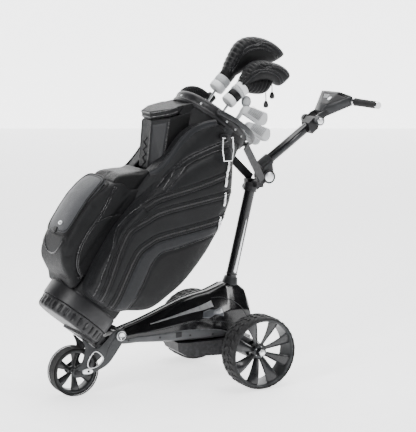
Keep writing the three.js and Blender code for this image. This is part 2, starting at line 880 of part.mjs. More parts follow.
const covered = [
  {
    name: "driver",
    at: [-28, 44],
    neck: [1020, 1110, 26],
    half: 43,
    outline: [
      [-50, 1104],
      [-60, 1190],
      [-36, 1250],
      [6, 1284],
      [56, 1297],
      [90, 1288],
      [88, 1244],
      [20, 1140],
      [0, 1104],
    ],
  },
  {
    name: "fairway",
    at: [0, -50],
    neck: [985, 1080, 24],
    half: 40,
    outline: [
      [-22, 1070],
      [-16, 1120],
      [-2, 1172],
      [50, 1212],
      [106, 1226],
      [116, 1212],
      [106, 1158],
      [34, 1072],
    ],
  },
  {
    name: "putter",
    at: [-8, 103],
    neck: [950, 985, 13],
    half: 12,
    outline: [
      [14, 985],
      [8, 1006],
      [-40, 1004],
      [-108, 962],
      [-114, 938],
      [-70, 944],
      [-20, 968],
    ],
  },
];
for (const { name, at, neck, half, outline } of covered) {
  const [low, high, radius] = neck;
  place(bag, `${name}_shaft`, clubStick([...at, gripFoot], [...at, low - GAP]), STEEL);
  const cover = join(
    rod([...at, low], [...at, high], radius * 0.9, radius),
    coverHead(outline, at[1], half),
  );
  place(bag, `${name}_cover`, cover, LEATHER);
}

// Each iron: where its grip stands, and the heel of its blade.
const irons = [
  { name: "iron_1", foot: [56, -66, gripFoot], heel: [56, -66, 992] },
  { name: "iron_2", foot: [50, -26, gripFoot], heel: [126, -26, 966] },
  { name: "iron_3", foot: [50, 18, gripFoot], heel: [126, 18, 944] },
];
for (const { name, foot, heel } of irons) {
  const [u, y, w] = heel;
  const blade = hull(
    [-11, 11].flatMap((dy) => [
      [u - 8, y + dy * 0.5, w + 4],
      [u + 8, y + dy, w - 4],
      [u + 94, y + dy, w + 12],
      [u + 106, y + dy * 0.8, w + 34],
      [u + 88, y + dy * 0.4, w + 62],
      [u - 4, y + dy * 0.4, w + 28],
    ]),
  );
  const hosel = rod([u - 3, y, w - 40], [u, y, w + 8], 7, 8, 14);
  place(bag, name, join(clubStick(foot, [u, y, w + 16]), hosel, blade), CHROME);
}

export default trolley;
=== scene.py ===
"""Looks of an electric golf trolley with a cart bag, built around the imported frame."""

import json
import math

import bmesh
import bpy
import numpy as np
from mathutils import Vector
from mathutils.bvhtree import BVHTree
from mathutils.kdtree import KDTree
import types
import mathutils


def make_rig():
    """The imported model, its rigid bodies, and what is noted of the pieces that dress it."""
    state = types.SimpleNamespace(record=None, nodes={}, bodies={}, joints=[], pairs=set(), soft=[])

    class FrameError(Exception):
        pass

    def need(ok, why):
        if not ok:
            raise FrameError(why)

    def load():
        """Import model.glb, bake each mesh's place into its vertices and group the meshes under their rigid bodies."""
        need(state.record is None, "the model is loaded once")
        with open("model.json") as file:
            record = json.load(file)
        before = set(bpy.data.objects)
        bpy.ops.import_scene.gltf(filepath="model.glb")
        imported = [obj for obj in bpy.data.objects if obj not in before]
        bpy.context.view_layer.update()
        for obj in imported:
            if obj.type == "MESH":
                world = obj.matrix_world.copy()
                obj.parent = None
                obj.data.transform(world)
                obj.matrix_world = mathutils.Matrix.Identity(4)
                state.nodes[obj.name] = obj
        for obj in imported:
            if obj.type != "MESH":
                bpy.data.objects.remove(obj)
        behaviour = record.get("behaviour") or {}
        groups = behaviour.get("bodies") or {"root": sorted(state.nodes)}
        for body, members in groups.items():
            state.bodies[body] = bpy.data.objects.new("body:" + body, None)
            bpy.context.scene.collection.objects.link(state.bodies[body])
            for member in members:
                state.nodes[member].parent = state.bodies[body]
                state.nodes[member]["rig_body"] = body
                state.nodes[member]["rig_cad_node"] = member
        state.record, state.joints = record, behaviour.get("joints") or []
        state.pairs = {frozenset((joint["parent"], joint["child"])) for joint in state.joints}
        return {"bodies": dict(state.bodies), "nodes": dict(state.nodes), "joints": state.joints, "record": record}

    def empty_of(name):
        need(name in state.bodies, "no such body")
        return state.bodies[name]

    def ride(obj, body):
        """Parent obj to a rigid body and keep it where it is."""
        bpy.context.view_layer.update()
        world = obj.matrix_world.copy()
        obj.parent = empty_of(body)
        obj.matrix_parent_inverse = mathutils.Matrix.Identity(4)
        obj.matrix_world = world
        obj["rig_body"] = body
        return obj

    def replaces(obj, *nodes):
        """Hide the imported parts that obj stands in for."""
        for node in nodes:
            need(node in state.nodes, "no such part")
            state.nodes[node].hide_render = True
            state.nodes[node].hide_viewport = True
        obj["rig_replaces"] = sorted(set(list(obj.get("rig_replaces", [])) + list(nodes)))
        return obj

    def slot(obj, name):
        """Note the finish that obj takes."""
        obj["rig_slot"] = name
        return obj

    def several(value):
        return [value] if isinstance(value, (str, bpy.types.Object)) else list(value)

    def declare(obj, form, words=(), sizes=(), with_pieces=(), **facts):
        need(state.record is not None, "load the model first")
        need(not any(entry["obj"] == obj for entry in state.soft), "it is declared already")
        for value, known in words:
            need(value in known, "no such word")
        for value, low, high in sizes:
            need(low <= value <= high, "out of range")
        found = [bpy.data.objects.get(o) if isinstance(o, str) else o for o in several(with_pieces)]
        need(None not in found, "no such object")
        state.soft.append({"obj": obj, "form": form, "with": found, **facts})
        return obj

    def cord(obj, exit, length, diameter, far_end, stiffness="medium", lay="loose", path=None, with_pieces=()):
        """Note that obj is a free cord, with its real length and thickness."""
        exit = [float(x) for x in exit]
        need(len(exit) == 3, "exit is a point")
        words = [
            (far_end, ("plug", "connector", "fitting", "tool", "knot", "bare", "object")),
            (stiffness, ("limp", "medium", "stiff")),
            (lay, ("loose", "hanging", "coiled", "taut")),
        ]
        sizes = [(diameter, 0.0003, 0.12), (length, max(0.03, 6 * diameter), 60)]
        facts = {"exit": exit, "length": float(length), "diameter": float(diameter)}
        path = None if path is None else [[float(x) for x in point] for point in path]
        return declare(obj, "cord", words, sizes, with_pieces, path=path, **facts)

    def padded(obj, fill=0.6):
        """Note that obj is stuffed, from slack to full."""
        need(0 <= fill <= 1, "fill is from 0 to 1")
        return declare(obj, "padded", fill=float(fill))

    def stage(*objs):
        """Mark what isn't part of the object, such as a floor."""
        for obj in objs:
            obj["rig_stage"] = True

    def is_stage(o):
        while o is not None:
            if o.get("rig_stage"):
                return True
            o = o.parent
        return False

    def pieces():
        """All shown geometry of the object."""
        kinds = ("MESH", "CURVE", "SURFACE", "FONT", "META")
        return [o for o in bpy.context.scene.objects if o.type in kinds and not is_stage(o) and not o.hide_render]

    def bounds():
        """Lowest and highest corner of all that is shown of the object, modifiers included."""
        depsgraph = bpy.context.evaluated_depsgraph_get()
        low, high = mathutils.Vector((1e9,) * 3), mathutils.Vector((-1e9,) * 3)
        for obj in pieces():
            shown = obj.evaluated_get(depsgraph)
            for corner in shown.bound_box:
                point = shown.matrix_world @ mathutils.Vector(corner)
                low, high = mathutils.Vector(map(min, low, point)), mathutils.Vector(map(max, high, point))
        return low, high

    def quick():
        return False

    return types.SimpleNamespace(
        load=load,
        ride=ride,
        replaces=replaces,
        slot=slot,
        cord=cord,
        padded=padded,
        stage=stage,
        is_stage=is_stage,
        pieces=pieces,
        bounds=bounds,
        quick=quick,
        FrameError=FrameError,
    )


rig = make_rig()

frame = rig.load()
cad_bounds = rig.bounds()

MM = 0.001
CLOTH_FRAMES = 20
TAU = 2 * math.pi
Y_AXIS = Vector((0, 1, 0))

# ---- the bag's own frame ----
# u runs to the rear, y across and w along the bag's axis, in millimetres from the middle of its foot.
LEAN = math.radians(40)
COS, SIN = math.cos(LEAN), math.sin(LEAN)
BAG_FOOT = (-548.0, 262.0)
BASE_RADIUS = 130
MOUTH_RADIUS = 146
SHELL_FOOT = 46.4
SHELL_TOP = 884
RIM_TOP = 930


def bag(u, y, w):
    """A point of the bag's frame, in metres in the row frame."""
    return Vector((BAG_FOOT[0] + u * COS + w * SIN, y, BAG_FOOT[1] - u * SIN + w * COS)) * MM


def bag_way(u, y, w):
    """A direction of the bag's frame."""
    return Vector((u * COS + w * SIN, y, -u * SIN + w * COS)).normalized()


def row(x, y, z):
    """A point of the row frame given in millimetres."""
    return Vector((x, y, z)) * MM


def shell_radius(w):
    """The shell's outer radius at a height."""
    share = (w - SHELL_FOOT) / (SHELL_TOP - SHELL_FOOT)
    return BASE_RADIUS - 1 + share * (MOUTH_RADIUS - BASE_RADIUS + 1)


# ---- materials ----
class Nodes:
    """A material's node tree with short calls to add and join nodes."""

    def __init__(self, name):
        self.material = bpy.data.materials.new(name)
        self.material.use_nodes = True
        self.tree = self.material.node_tree
        self.tree.nodes.clear()
        output = self.add("OutputMaterial")
        self.shader = self.add("BsdfPrincipled")
        self.join(self.shader, "BSDF", output, "Surface")
        self.place = self.add("TexCoord")

    def add(self, kind, **settings):
        node = self.tree.nodes.new("ShaderNode" + kind)
        for key, value in settings.items():
            if hasattr(node, key):
                setattr(node, key, value)
            else:
                node.inputs[key.replace("_", " ")].default_value = value
        return node

    def join(self, source, out, target, into):
        self.tree.links.new(source.outputs[out], target.inputs[into])

    def stretched(self, scale):
        """Object coordinates with a scale for each axis."""
        mapping = self.add("Mapping")
        mapping.inputs["Scale"].default_value = scale
        self.join(self.place, "Object", mapping, "Vector")
        return mapping

    def noise(self, scale, detail=3.0, roughness=0.5, stretch=(1, 1, 1)):
        node = self.add("TexNoise", Scale=scale, Detail=detail, Roughness=roughness)
        self.join(self.stretched(stretch), "Vector", node, "Vector")
        return node

    def ramp(self, source, out, low, high, first=(0, 0, 0, 1), last=(1, 1, 1, 1)):
        node = self.add("ValToRGB")
        stops = node.color_ramp.elements
        stops[0].position, stops[0].color = low, first
        stops[1].position, stops[1].color = high, last
        self.join(source, out, node, "Fac")
        return node

    def mix(self, factor, factor_out, a, b, blend="MIX"):
        """A colour mix; a and b are colours or (node, output)."""
        node = self.add("Mix", data_type="RGBA", blend_type=blend)
        if isinstance(factor, float):
            node.inputs[0].default_value = factor
        else:
            self.join(factor, factor_out, node, 0)
        for value, socket in ((a, 6), (b, 7)):
            if isinstance(value[0], bpy.types.Node):
                self.tree.links.new(value[0].outputs[value[1]], node.inputs[socket])
            else:
                node.inputs[socket].default_value = (*value, 1)
        return node

    def range(self, source, out, low, high, start=0.0, end=1.0):
        node = self.add("MapRange")
        for key, value in (("From Min", start), ("From Max", end), ("To Min", low), ("To Max", high)):
            node.inputs[key].default_value = value
        self.join(source, out, node, "Value")
        return node

    def math(self, operation, a, b=None):
        node = self.add("Math", operation=operation)
        for i, value in enumerate((a, b)):
            if isinstance(value, tuple):
                self.tree.links.new(value[0].outputs[value[1]], node.inputs[i])
            elif value is not None:
                node.inputs[i].default_value = value
        return node

    def bump(self, source, out, strength, distance, under=None):
        node = self.add("Bump", Strength=strength, Distance=distance)
        self.join(source, out, node, "Height")
        if under:
            self.join(under, "Normal", node, "Normal")
        return node

    def finish(self, colour, roughness, normal=None):
        self.tree.links.new(
            colour.outputs[2 if colour.type == "MIX" else 0], self.shader.inputs["Base Color"]
        )
        self.join(roughness, 0, self.shader, "Roughness")
        if normal:
            self.join(normal, "Normal", self.shader, "Normal")
        return self.material


def worn(nodes, base, base_out, wear, amount):
    """The base colour, paler along sharp edges where hands and use have rubbed it."""
    shape = nodes.add("NewGeometry")
    edge = nodes.ramp(shape, "Pointiness", 0.52, 0.60)
    patches = nodes.noise(90, 4)
    rubbed = nodes.math("MULTIPLY", (edge, "Color"), (nodes.ramp(patches, "Fac", 0.42, 0.62), "Color"))
    scaled = nodes.math("MULTIPLY", (rubbed, 0), amount)
    return nodes.mix(scaled, 0, (base, base_out), wear)


def leather(name, dark, light, rough=(0.42, 0.58), grain=0.9, cell=620, wear=0.35):
    """Pebbled synthetic leather."""
    n = Nodes(name)
    tone = n.mix(n.ramp(n.noise(9, 5, 0.6), "Fac", 0.3, 0.7), "Color", dark, light)
    fine = n.noise(260, 4)
    mottled = n.mix(n.range(fine, "Fac", 0.0, 0.5), 0, (tone, 2), tuple(c * 1.35 for c in light))
    pebble = n.add("TexVoronoi", feature="F1", Scale=cell)
    n.join(n.stretched((1, 1, 1)), "Vector", pebble, "Vector")
    crease = n.add("TexVoronoi", feature="DISTANCE_TO_EDGE", Scale=cell)
    n.join(n.stretched((1, 1, 1)), "Vector", crease, "Vector")
    valley = n.ramp(crease, "Distance", 0.0, 0.16)
    first = n.bump(valley, "Color", 0.35 * grain, 0.0007)
    second = n.bump(pebble, "Distance", 0.25 * grain, 0.0006, first)
    waves = n.bump(n.noise(38, 3), "Fac", 0.18 * grain, 0.004, second)
    # The creases between the pebbles are painted darker: painted shade in the grain's valleys.
    crease_shaded = n.mix(n.range(valley, "Color", 0.45, 0.0), 0, (mottled, 2), tuple(c * 0.4 for c in dark))
    colour = worn(n, crease_shaded, 2, tuple(min(1, c * 3.0) for c in light), wear)
    roughness = n.range(n.noise(55, 4), "Fac", *rough)
    n.shader.inputs["Specular IOR Level"].default_value = 0.15
    n.shader.inputs["Sheen Weight"].default_value = 0.02
    n.shader.inputs["Sheen Roughness"].default_value = 0.4
    return n.finish(colour, roughness, waves)


def plastic(name, dark, light, rough=(0.3, 0.4), metal=0.0, coat=0.0, texture=0.25, wear=0.4, scale=1400):
    """Moulded or cast surface with a faint texture, handling marks and rubbed edges."""
    n = Nodes(name)
    tone = n.mix(n.ramp(n.noise(14, 3), "Fac", 0.35, 0.65), "Color", dark, light)
    colour = worn(n, tone, 2, tuple(min(1, c * 2.6 + 0.006) for c in light), wear)
    smears = n.noise(26, 5, 0.65, (1, 1, 2.2))
    roughness = n.range(smears, "Fac", *rough, 0.3, 0.7)
    speckle = n.bump(n.noise(scale, 2), "Fac", texture, 0.0004)
    n.shader.inputs["Metallic"].default_value = metal
    n.shader.inputs["Specular IOR Level"].default_value = 0.3
    n.shader.inputs["Coat Weight"].default_value = coat
    n.shader.inputs["Coat Roughness"].default_value = 0.08
    return n.finish(colour, roughness, speckle)


def brushed(name, dark, light, rough=(0.2, 0.34), metal=1.0, stretch=(40, 1, 1), depth=0.25, wear=0.2):
    """Drawn or brushed metal with fine lines."""
    n = Nodes(name)
    lines = n.noise(60, 6, 0.7, stretch)
    tone = n.mix(n.ramp(lines, "Fac", 0.35, 0.65), "Color", dark, light)
    colour = worn(n, tone, 2, tuple(min(1, c * 1.3 + 0.03) for c in light), wear)
    roughness = n.range(lines, "Fac", *rough, 0.3, 0.7)
    n.shader.inputs["Metallic"].default_value = metal
    return n.finish(colour, roughness, n.bump(lines, "Fac", depth, 0.0003))


def rubber(name, dark, light):
    """Tyre rubber: dull, dusty in its grooves."""
    n = Nodes(name)
    tone = n.mix(n.ramp(n.noise(22, 5, 0.6), "Fac", 0.35, 0.7), "Color", dark, light)
    shape = n.add("NewGeometry")
    dust = n.ramp(shape, "Pointiness", 0.40, 0.50, (1, 1, 1, 1), (0, 0, 0, 1))
    dusty = n.mix(n.math("MULTIPLY", (dust, "Color"), 0.3), 0, (tone, 2), (0.022, 0.0215, 0.021))
    colour = worn(n, dusty, 2, (0.034, 0.034, 0.035), 0.5)
    roughness = n.range(n.noise(80, 4), "Fac", 0.55, 0.78)
    n.shader.inputs["Specular IOR Level"].default_value = 0.25
    grit = n.bump(n.noise(900, 3), "Fac", 0.4, 0.0006)
    return n.finish(colour, roughness, grit)


def cloth(name, dark, light, rough=(0.7, 0.9), pitch=900, depth=0.6):
    """Plain-woven fabric or webbing: two crossed sets of threads."""
    n = Nodes(name)
    warp = n.add("TexWave", wave_type="BANDS", bands_direction="DIAGONAL", Scale=pitch / 10)
    weft = n.add("TexWave", wave_type="BANDS", bands_direction="Z", Scale=pitch / 8)
    for wave in (warp, weft):
        n.join(n.stretched((1, 1, 1)), "Vector", wave, "Vector")
    weave = n.math("MAXIMUM", (warp, "Fac"), (weft, "Fac"))
    tone = n.mix(n.ramp(n.noise(16, 4), "Fac", 0.3, 0.7), "Color", dark, light)
    # The gaps between the threads are painted darker, as painted shade.
    colour = n.mix(n.range(weave, 0, 0.5, 0.0), 0, (tone, 2), tuple(c * 0.35 for c in dark))
    roughness = n.range(n.noise(120, 3), "Fac", *rough)
    n.shader.inputs["Specular IOR Level"].default_value = 0.2
    n.shader.inputs["Sheen Weight"].default_value = 0.08
    n.shader.inputs["Sheen Roughness"].default_value = 0.5
    return n.finish(colour, roughness, n.bump(weave, 0, depth, 0.0005))


BLACK_LEATHER = leather("black_leather", (0.0036, 0.00369, 0.00414), (0.0081, 0.00832, 0.009))
PANEL_LEATHER = leather("panel_leather", (0.0042, 0.00435, 0.0048), (0.009, 0.0093, 0.0102), (0.38, 0.52))
DEEP_LEATHER = leather("deep_leather", (0.0015, 0.00155, 0.0018), (0.004, 0.00415, 0.0045), (0.38, 0.52))
GREY_LEATHER = leather("grey_leather", (0.0375, 0.0385, 0.042), (0.0575, 0.059, 0.0635), (0.36, 0.5), 0.6)
BAND_LEATHER = leather("band_leather", (0.010, 0.0104, 0.0116), (0.019, 0.0198, 0.0217), (0.32, 0.44), 0.45)
COVER_LEATHER = leather("cover_leather", (0.003, 0.0031, 0.0035), (0.008, 0.00825, 0.009), (0.28, 0.42), 0.8)
WHITE_LEATHER = leather("white_leather", (0.62, 0.63, 0.65), (0.78, 0.79, 0.80), (0.4, 0.55), 0.5, wear=0.0)
PALE_LEATHER = leather("pale_leather", (0.30, 0.31, 0.32), (0.44, 0.45, 0.46), (0.4, 0.55), 0.5, wear=0.0)
PIPING = plastic("piping", (0.008, 0.008, 0.009), (0.018, 0.018, 0.019), (0.2, 0.32), coat=0.3, texture=0.3)
ZIP_TAPE = cloth("zip_tape", (0.0032, 0.0032, 0.0036), (0.0072, 0.0072, 0.008), pitch=1500)
ZIP_COIL = plastic("zip_coil", (0.005, 0.005, 0.0055), (0.0175, 0.0175, 0.0185), (0.25, 0.4))
WEBBING = cloth("webbing", (0.0056, 0.0056, 0.006), (0.0136, 0.0136, 0.0144))
GLOSS_BLACK = plastic(
    "gloss_black", (0.0032, 0.0032, 0.0036), (0.0056, 0.0056, 0.0064), (0.12, 0.24), coat=0.3, texture=0.05
)
SATIN_BLACK = plastic("satin_black", (0.0064, 0.0064, 0.0072), (0.012, 0.012, 0.0132), (0.36, 0.5))
GREY_MOULDING = plastic(
    "grey_moulding", (0.0175, 0.0182, 0.0196), (0.02975, 0.0308, 0.03255), (0.3, 0.42), 0.35
)
SKIRT_GREY = plastic("skirt_grey", (0.0495, 0.05085, 0.054), (0.072, 0.07425, 0.0774), (0.34, 0.46), 0.3)
CAST_GREY = plastic(
    "cast_grey", (0.027, 0.0279, 0.0294), (0.045, 0.0465, 0.048), (0.32, 0.46), 0.7, texture=0.4
)
WHEEL_BLACK = plastic("wheel_black", (0.006, 0.00625, 0.007), (0.013, 0.0135, 0.015), (0.24, 0.36), coat=0.25)
WHEEL_GREY = plastic("wheel_grey", (0.03, 0.0312, 0.033), (0.048, 0.0495, 0.051), (0.3, 0.42), 0.5)
TYRE = rubber("tyre_rubber", (0.0066, 0.0066, 0.0069), (0.015, 0.015, 0.0156))
TUBE_BLACK = brushed(
    "tube_black", (0.005, 0.005, 0.006), (0.011, 0.011, 0.012), (0.14, 0.24), 0.1, (1, 1, 0.1), 0.05
)
SILVER = brushed("silver", (0.62, 0.63, 0.65), (0.82, 0.83, 0.85), (0.24, 0.36), 0.85, (1, 1, 0.1))
FLASH_GREY = brushed("flash_grey", (0.20, 0.205, 0.21), (0.32, 0.325, 0.33), (0.26, 0.38), 0.6, (1, 1, 0.1))
CHROME = brushed("polished_chrome", (0.72, 0.73, 0.75), (0.88, 0.89, 0.9), (0.06, 0.14), 1.0, (6, 6, 1), 0.05)
STEEL = brushed("satin_steel", (0.42, 0.43, 0.44), (0.62, 0.63, 0.64), (0.24, 0.38))
IRON_STEEL = brushed("iron_steel", (0.40, 0.41, 0.42), (0.56, 0.57, 0.58), (0.38, 0.5), 0.35)
PALE_MOULDING = plastic("pale_moulding", (0.34, 0.35, 0.36), (0.46, 0.47, 0.48), (0.3, 0.42), 0.3)
SMOKED = plastic("smoked_window", (0.05, 0.055, 0.06), (0.10, 0.105, 0.115), (0.1, 0.2), 0.2, 0.5, 0.05, 0.0)


# ---- meshes ----
def add_object(name, mesh):
    made = bpy.data.objects.new(name, mesh)
    bpy.context.scene.collection.objects.link(made)
    return made


def solid(name, points, faces, material):
    """A mesh object from points in metres and faces, with its normals turned outwards."""
    mesh = bpy.data.meshes.new(name)
    mesh.from_pydata([tuple(p) for p in points], [], faces)
    shape = bmesh.new()
    shape.from_mesh(mesh)
    bmesh.ops.remove_doubles(shape, verts=shape.verts, dist=1e-6)
    bmesh.ops.recalc_face_normals(shape, faces=shape.faces)
    shape.to_mesh(mesh)
    shape.free()
    mesh.polygons.foreach_set("use_smooth", [True] * len(mesh.polygons))
    mesh.materials.append(material)
    return add_object(name, mesh)


def grid_faces(rows, columns, wrap_rows=False, wrap_columns=False, start=0):
    """Quads over a grid of points stored row by row."""
    faces = []
    for i in range(rows if wrap_rows else rows - 1):
        for j in range(columns if wrap_columns else columns - 1):
            a, b = i % rows, (i + 1) % rows
            c, d = j % columns, (j + 1) % columns
            faces.append(
                tuple(start + v for v in (a * columns + c, a * columns + d, b * columns + d, b * columns + c))
            )
    return faces


def merged(name, parts, material):
    """One object from several (points, faces)."""
    points, faces = [], []
    for some, links in parts:
        faces += [tuple(v + len(points) for v in link) for link in links]
        points += list(some)
    return solid(name, points, faces, material)


def applied(obj):
    """Turns an object's modifiers into its mesh."""
    bpy.context.view_layer.update()
    graph = bpy.context.evaluated_depsgraph_get()
    mesh = bpy.data.meshes.new_from_object(obj.evaluated_get(graph))
    obj.modifiers.clear()
    obj.data = mesh
    return obj


def rounded(obj, width, segments=2, angle=35):
    """Rounds an object's edges by that width in millimetres."""
    bevel = obj.modifiers.new("edge", "BEVEL")
    bevel.width = width * MM
    bevel.segments = segments
    bevel.limit_method = "ANGLE"
    bevel.angle_limit = math.radians(angle)
    bevel.harden_normals = True
    obj.data.polygons.foreach_set("use_smooth", [True] * len(obj.data.polygons))
    return obj


def subdivided(obj, levels=1):
    smoother = obj.modifiers.new("round", "SUBSURF")
    smoother.levels = smoother.render_levels = levels
    return obj


def spline(points, count, closed=False, tight=0.5):
    """Evenly spaced points on a smooth curve through the given ones; works in any dimension."""
    p = np.array([tuple(v) for v in points], float)
    n = len(p)
    spans = n if closed else n - 1
    dense = []
    for i in range(spans):
        if closed:
            a, b, c, d = p[(i - 1) % n], p[i], p[(i + 1) % n], p[(i + 2) % n]
        else:
            b, c = p[i], p[i + 1]
            a = p[i - 1] if i else 2 * b - c
            d = p[i + 2] if i + 2 < n else 2 * c - b
        for t in np.linspace(0, 1, 12, endpoint=False):
            m0, m1 = tight * (c - a), tight * (d - b)
            dense.append(
                (
                    2 * t**3 - 3 * t**2 + 1
                ) * b + (t**3 - 2 * t**2 + t) * m0 + (3 * t**2 - 2 * t**3) * c + (t**3 - t**2) * m1
            )
    dense.append(p[0] if closed else p[-1])
    dense = np.array(dense)
    steps = np.r_[0, np.cumsum(np.linalg.norm(np.diff(dense, axis=0), axis=1))]
    wanted = np.linspace(0, steps[-1], count + 1 if closed else count)
    out = np.column_stack([np.interp(wanted, steps, dense[:, k]) for k in range(p.shape[1])])
    return out[:-1] if closed else out


def frames_along(points, normals=None, closed=False):
    """Unit across and up vectors at each point of a path.
    Up follows the given normals, or turns as little as it can."""
    p = np.array([tuple(v) for v in points], float)
    ahead = np.roll(p, -1, 0) - np.roll(p, 1, 0)
    if not closed:
        ahead[0], ahead[-1] = p[1] - p[0], p[-1] - p[-2]
    ahead /= np.linalg.norm(ahead, axis=1)[:, None] + 1e-12
    ups = []
    up = np.array([0, 0, 1.0]) if abs(ahead[0][2]) < 0.9 else np.array([1.0, 0, 0])
    for i, way in enumerate(ahead):
        if normals is not None:
            up = np.array(tuple(normals[i]), float)
        up = up - way * (up @ way)
        up /= np.linalg.norm(up) + 1e-12
        ups.append(up)
    ups = np.array(ups)
    return np.cross(ahead, ups), ups


def swept(points, section, normals=None, closed=False, size=None):
    """(points, faces) of a closed section of (across, up) in millimetres carried along a path in metres."""
    across, ups = frames_along(points, normals, closed)
    rows = []
    for i, at in enumerate(points):
        grow = 1.0 if size is None else size[i]
        for a, b in section:
            rows.append(np.array(tuple(at)) + (across[i] * a + ups[i] * b) * MM * grow)
    n, m = len(points), len(section)
    faces = grid_faces(n, m, closed, True)
    if not closed:
        faces += [tuple(range(m)), tuple(range((n - 1) * m, n * m))[::-1]]
    return rows, faces


def ring(radius, sides=8, squash=1.0):
    """A round section."""
    return [
        (radius * math.cos(TAU * i / sides), squash * radius * math.sin(TAU * i / sides))
        for i in range(sides)
    ]


def strip(width, thick, low=-1.0):
    """A flat section with rounded shoulders, from low to thick above the path."""
    h = width / 2
    return [
        (-h, low), (h, low), (h, thick * 0.55), (h * 0.88, thick * 0.9), (h * 0.5, thick), (-h * 0.5, thick),
        (-h * 0.88, thick * 0.9), (-h, thick * 0.55)
    ]


def lathe(profile, origin, axis, sides=64, closed_profile=False):
    """(points, faces) of a profile of (radius, along) in millimetres, turned about an axis through origin."""
    axis = Vector(axis).normalized()
    side = axis.orthogonal().normalized()
    other = axis.cross(side)
    points = []
    for radius, along in profile:
        for i in range(sides):
            turn = TAU * i / sides
            out = side * math.cos(turn) + other * math.sin(turn)
            points.append(Vector(origin) + (axis * along + out * radius) * MM)
    faces = grid_faces(len(profile), sides, closed_profile, True)
    if not closed_profile:
        faces += [tuple(range(sides)), tuple(range((len(profile) - 1) * sides, len(profile) * sides))[::-1]]
    return points, faces


def loft(sections):
    """(points, faces) through closed sections that all have the same number of points, in metres."""
    n, m = len(sections), len(sections[0])
    faces = grid_faces(n, m, False, True) + [tuple(range(m)), tuple(range((n - 1) * m, n * m))[::-1]]
    return [p for s in sections for p in s], faces


def plate(name, outline, low, high, material, holes=(), edge=1.5, place=None, smooth_outline=True):
    """A flat piece with rounded edges, cut to an outline in the XZ plane, from y low to y high."""
    curve = bpy.data.curves.new(name, "CURVE")
    curve.dimensions = "2D"
    curve.fill_mode = "BOTH"
    for loop in (outline, *holes):
        path = spline(loop, max(24, 4 * len(loop)), True) if smooth_outline else np.array(loop, float)
        line = curve.splines.new("POLY")
        line.points.add(len(path) - 1)
        for point, at in zip(line.points, path):
            point.co = (at[0] * MM, at[1] * MM, 0, 1)
        line.use_cyclic_u = True
    curve.extrude = max(1e-5, ((high - low) / 2 - edge) * MM)
    curve.bevel_depth = edge * MM
    curve.offset = -edge * MM
    curve.bevel_resolution = 2
    holder = add_object(name + "_curve", curve)
    graph = bpy.context.evaluated_depsgraph_get()
    mesh = bpy.data.meshes.new_from_object(holder.evaluated_get(graph))
    bpy.data.objects.remove(holder)
    place = place or (lambda a, y, b: row(a, y, b))
    middle = (low + high) / 2
    for v in mesh.vertices:
        v.co = place(v.co.x / MM, middle + v.co.z / MM, v.co.y / MM)
    points, faces = [v.co.copy() for v in mesh.vertices], [tuple(f.vertices) for f in mesh.polygons]
    bpy.data.meshes.remove(mesh)
    made = solid(name, points, faces, material)
    return shaded(made)


def slab(name, top, under, rows, columns, material):
    """A closed sheet between a grid of upper points and a like grid of under points."""
    total = rows * columns
    faces = grid_faces(rows, columns) + [f[::-1] for f in grid_faces(rows, columns, start=total)]
    border = list(range(columns)) + [i * columns + columns - 1 for i in range(1, rows)]
    border += [total - columns + j for j in range(columns - 2, -1, -1)]
    border += [i * columns for i in range(rows - 2, 0, -1)]
    faces += [(a, b, b + total, a + total) for a, b in zip(border, border[1:] + border[:1])]
    return solid(name, top + under, faces, material)


def squared(k, sides, power):
    """Cosine and sine of the k-th of several even turns, filled out to a square as power rises from 2."""
    c, s = math.cos(TAU * k / sides), math.sin(TAU * k / sides)
    return math.copysign(abs(c) ** (2 / power), c), math.copysign(abs(s) ** (2 / power), s)


def shaded(obj, angle=32):
    """Smooth shading that keeps edges sharper than an angle."""
    shape = bmesh.new()
    shape.from_mesh(obj.data)
    for edge in shape.edges:
        edge.smooth = len(edge.link_faces) == 2 and edge.calc_face_angle(0) < math.radians(angle)
    shape.to_mesh(obj.data)
    shape.free()
    obj.data.polygons.foreach_set("use_smooth", [True] * len(obj.data.polygons))
    return obj


def mirrored(obj, name):
    """A copy of an object on the other side of the middle plane."""
    points = [Vector((v.co.x, -v.co.y, v.co.z)) for v in obj.data.vertices]
    faces = [tuple(f.vertices)[::-1] for f in obj.data.polygons]
    mesh = bpy.data.meshes.new(name)
    mesh.from_pydata([tuple(p) for p in points], [], faces)
    for material in obj.data.materials:
        mesh.materials.append(material)
    mesh.polygons.foreach_set("use_smooth", [f.use_smooth for f in obj.data.polygons])
    mesh.polygons.foreach_set("material_index", [f.material_index for f in obj.data.polygons])
    for edge, twin in zip(obj.data.edges, mesh.edges):
        twin.use_edge_sharp = edge.use_edge_sharp
    return add_object(name, mesh)


def keep(obj, body, slot, *stands_for):
    """Puts a piece on its body with its slot, standing for CAD nodes."""
    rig.ride(obj, body)
    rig.slot(obj, slot)
    if stands_for:
        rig.replaces(obj, *stands_for)
    return obj


def put(name, parts, material, body, slot, *stands_for, edge=None):
    """One piece from several (points, faces), kept on its body.
    Edges sharper than the angle edge stay sharp."""
    made = merged(name, parts, material)
    if edge:
        shaded(made, edge)
    return keep(made, body, slot, *stands_for)


def tree_of(obj):
    """A search tree over an object's surface."""
    mesh = obj.data
    return BVHTree.FromPolygons(
        [v.co.copy() for v in mesh.vertices], [tuple(f.vertices) for f in mesh.polygons]
    )


def pressed(tree, path, way, reach=200, lift=0.0):
    """The points where rays along way, from outside, meet a surface beside a path, and its normals there."""
    way = Vector(way).normalized()
    points, normals = [], []
    for at in path:
        start = Vector(at) - way * reach * MM
        hit, normal, _, _ = tree.ray_cast(start, way)
        if hit is None:
            hit, normal, _, _ = tree.find_nearest(Vector(at))
        if normal.dot(way) > 0:
            normal = -normal
        points.append(hit + normal * lift * MM)
        normals.append(normal)
    normals = np.array([tuple(n) for n in normals])
    for _ in range(3):
        normals[1:-1] = (normals[:-2] + 2 * normals[1:-1] + normals[2:]) / 4
    normals /= np.linalg.norm(normals, axis=1)[:, None]
    return points, normals


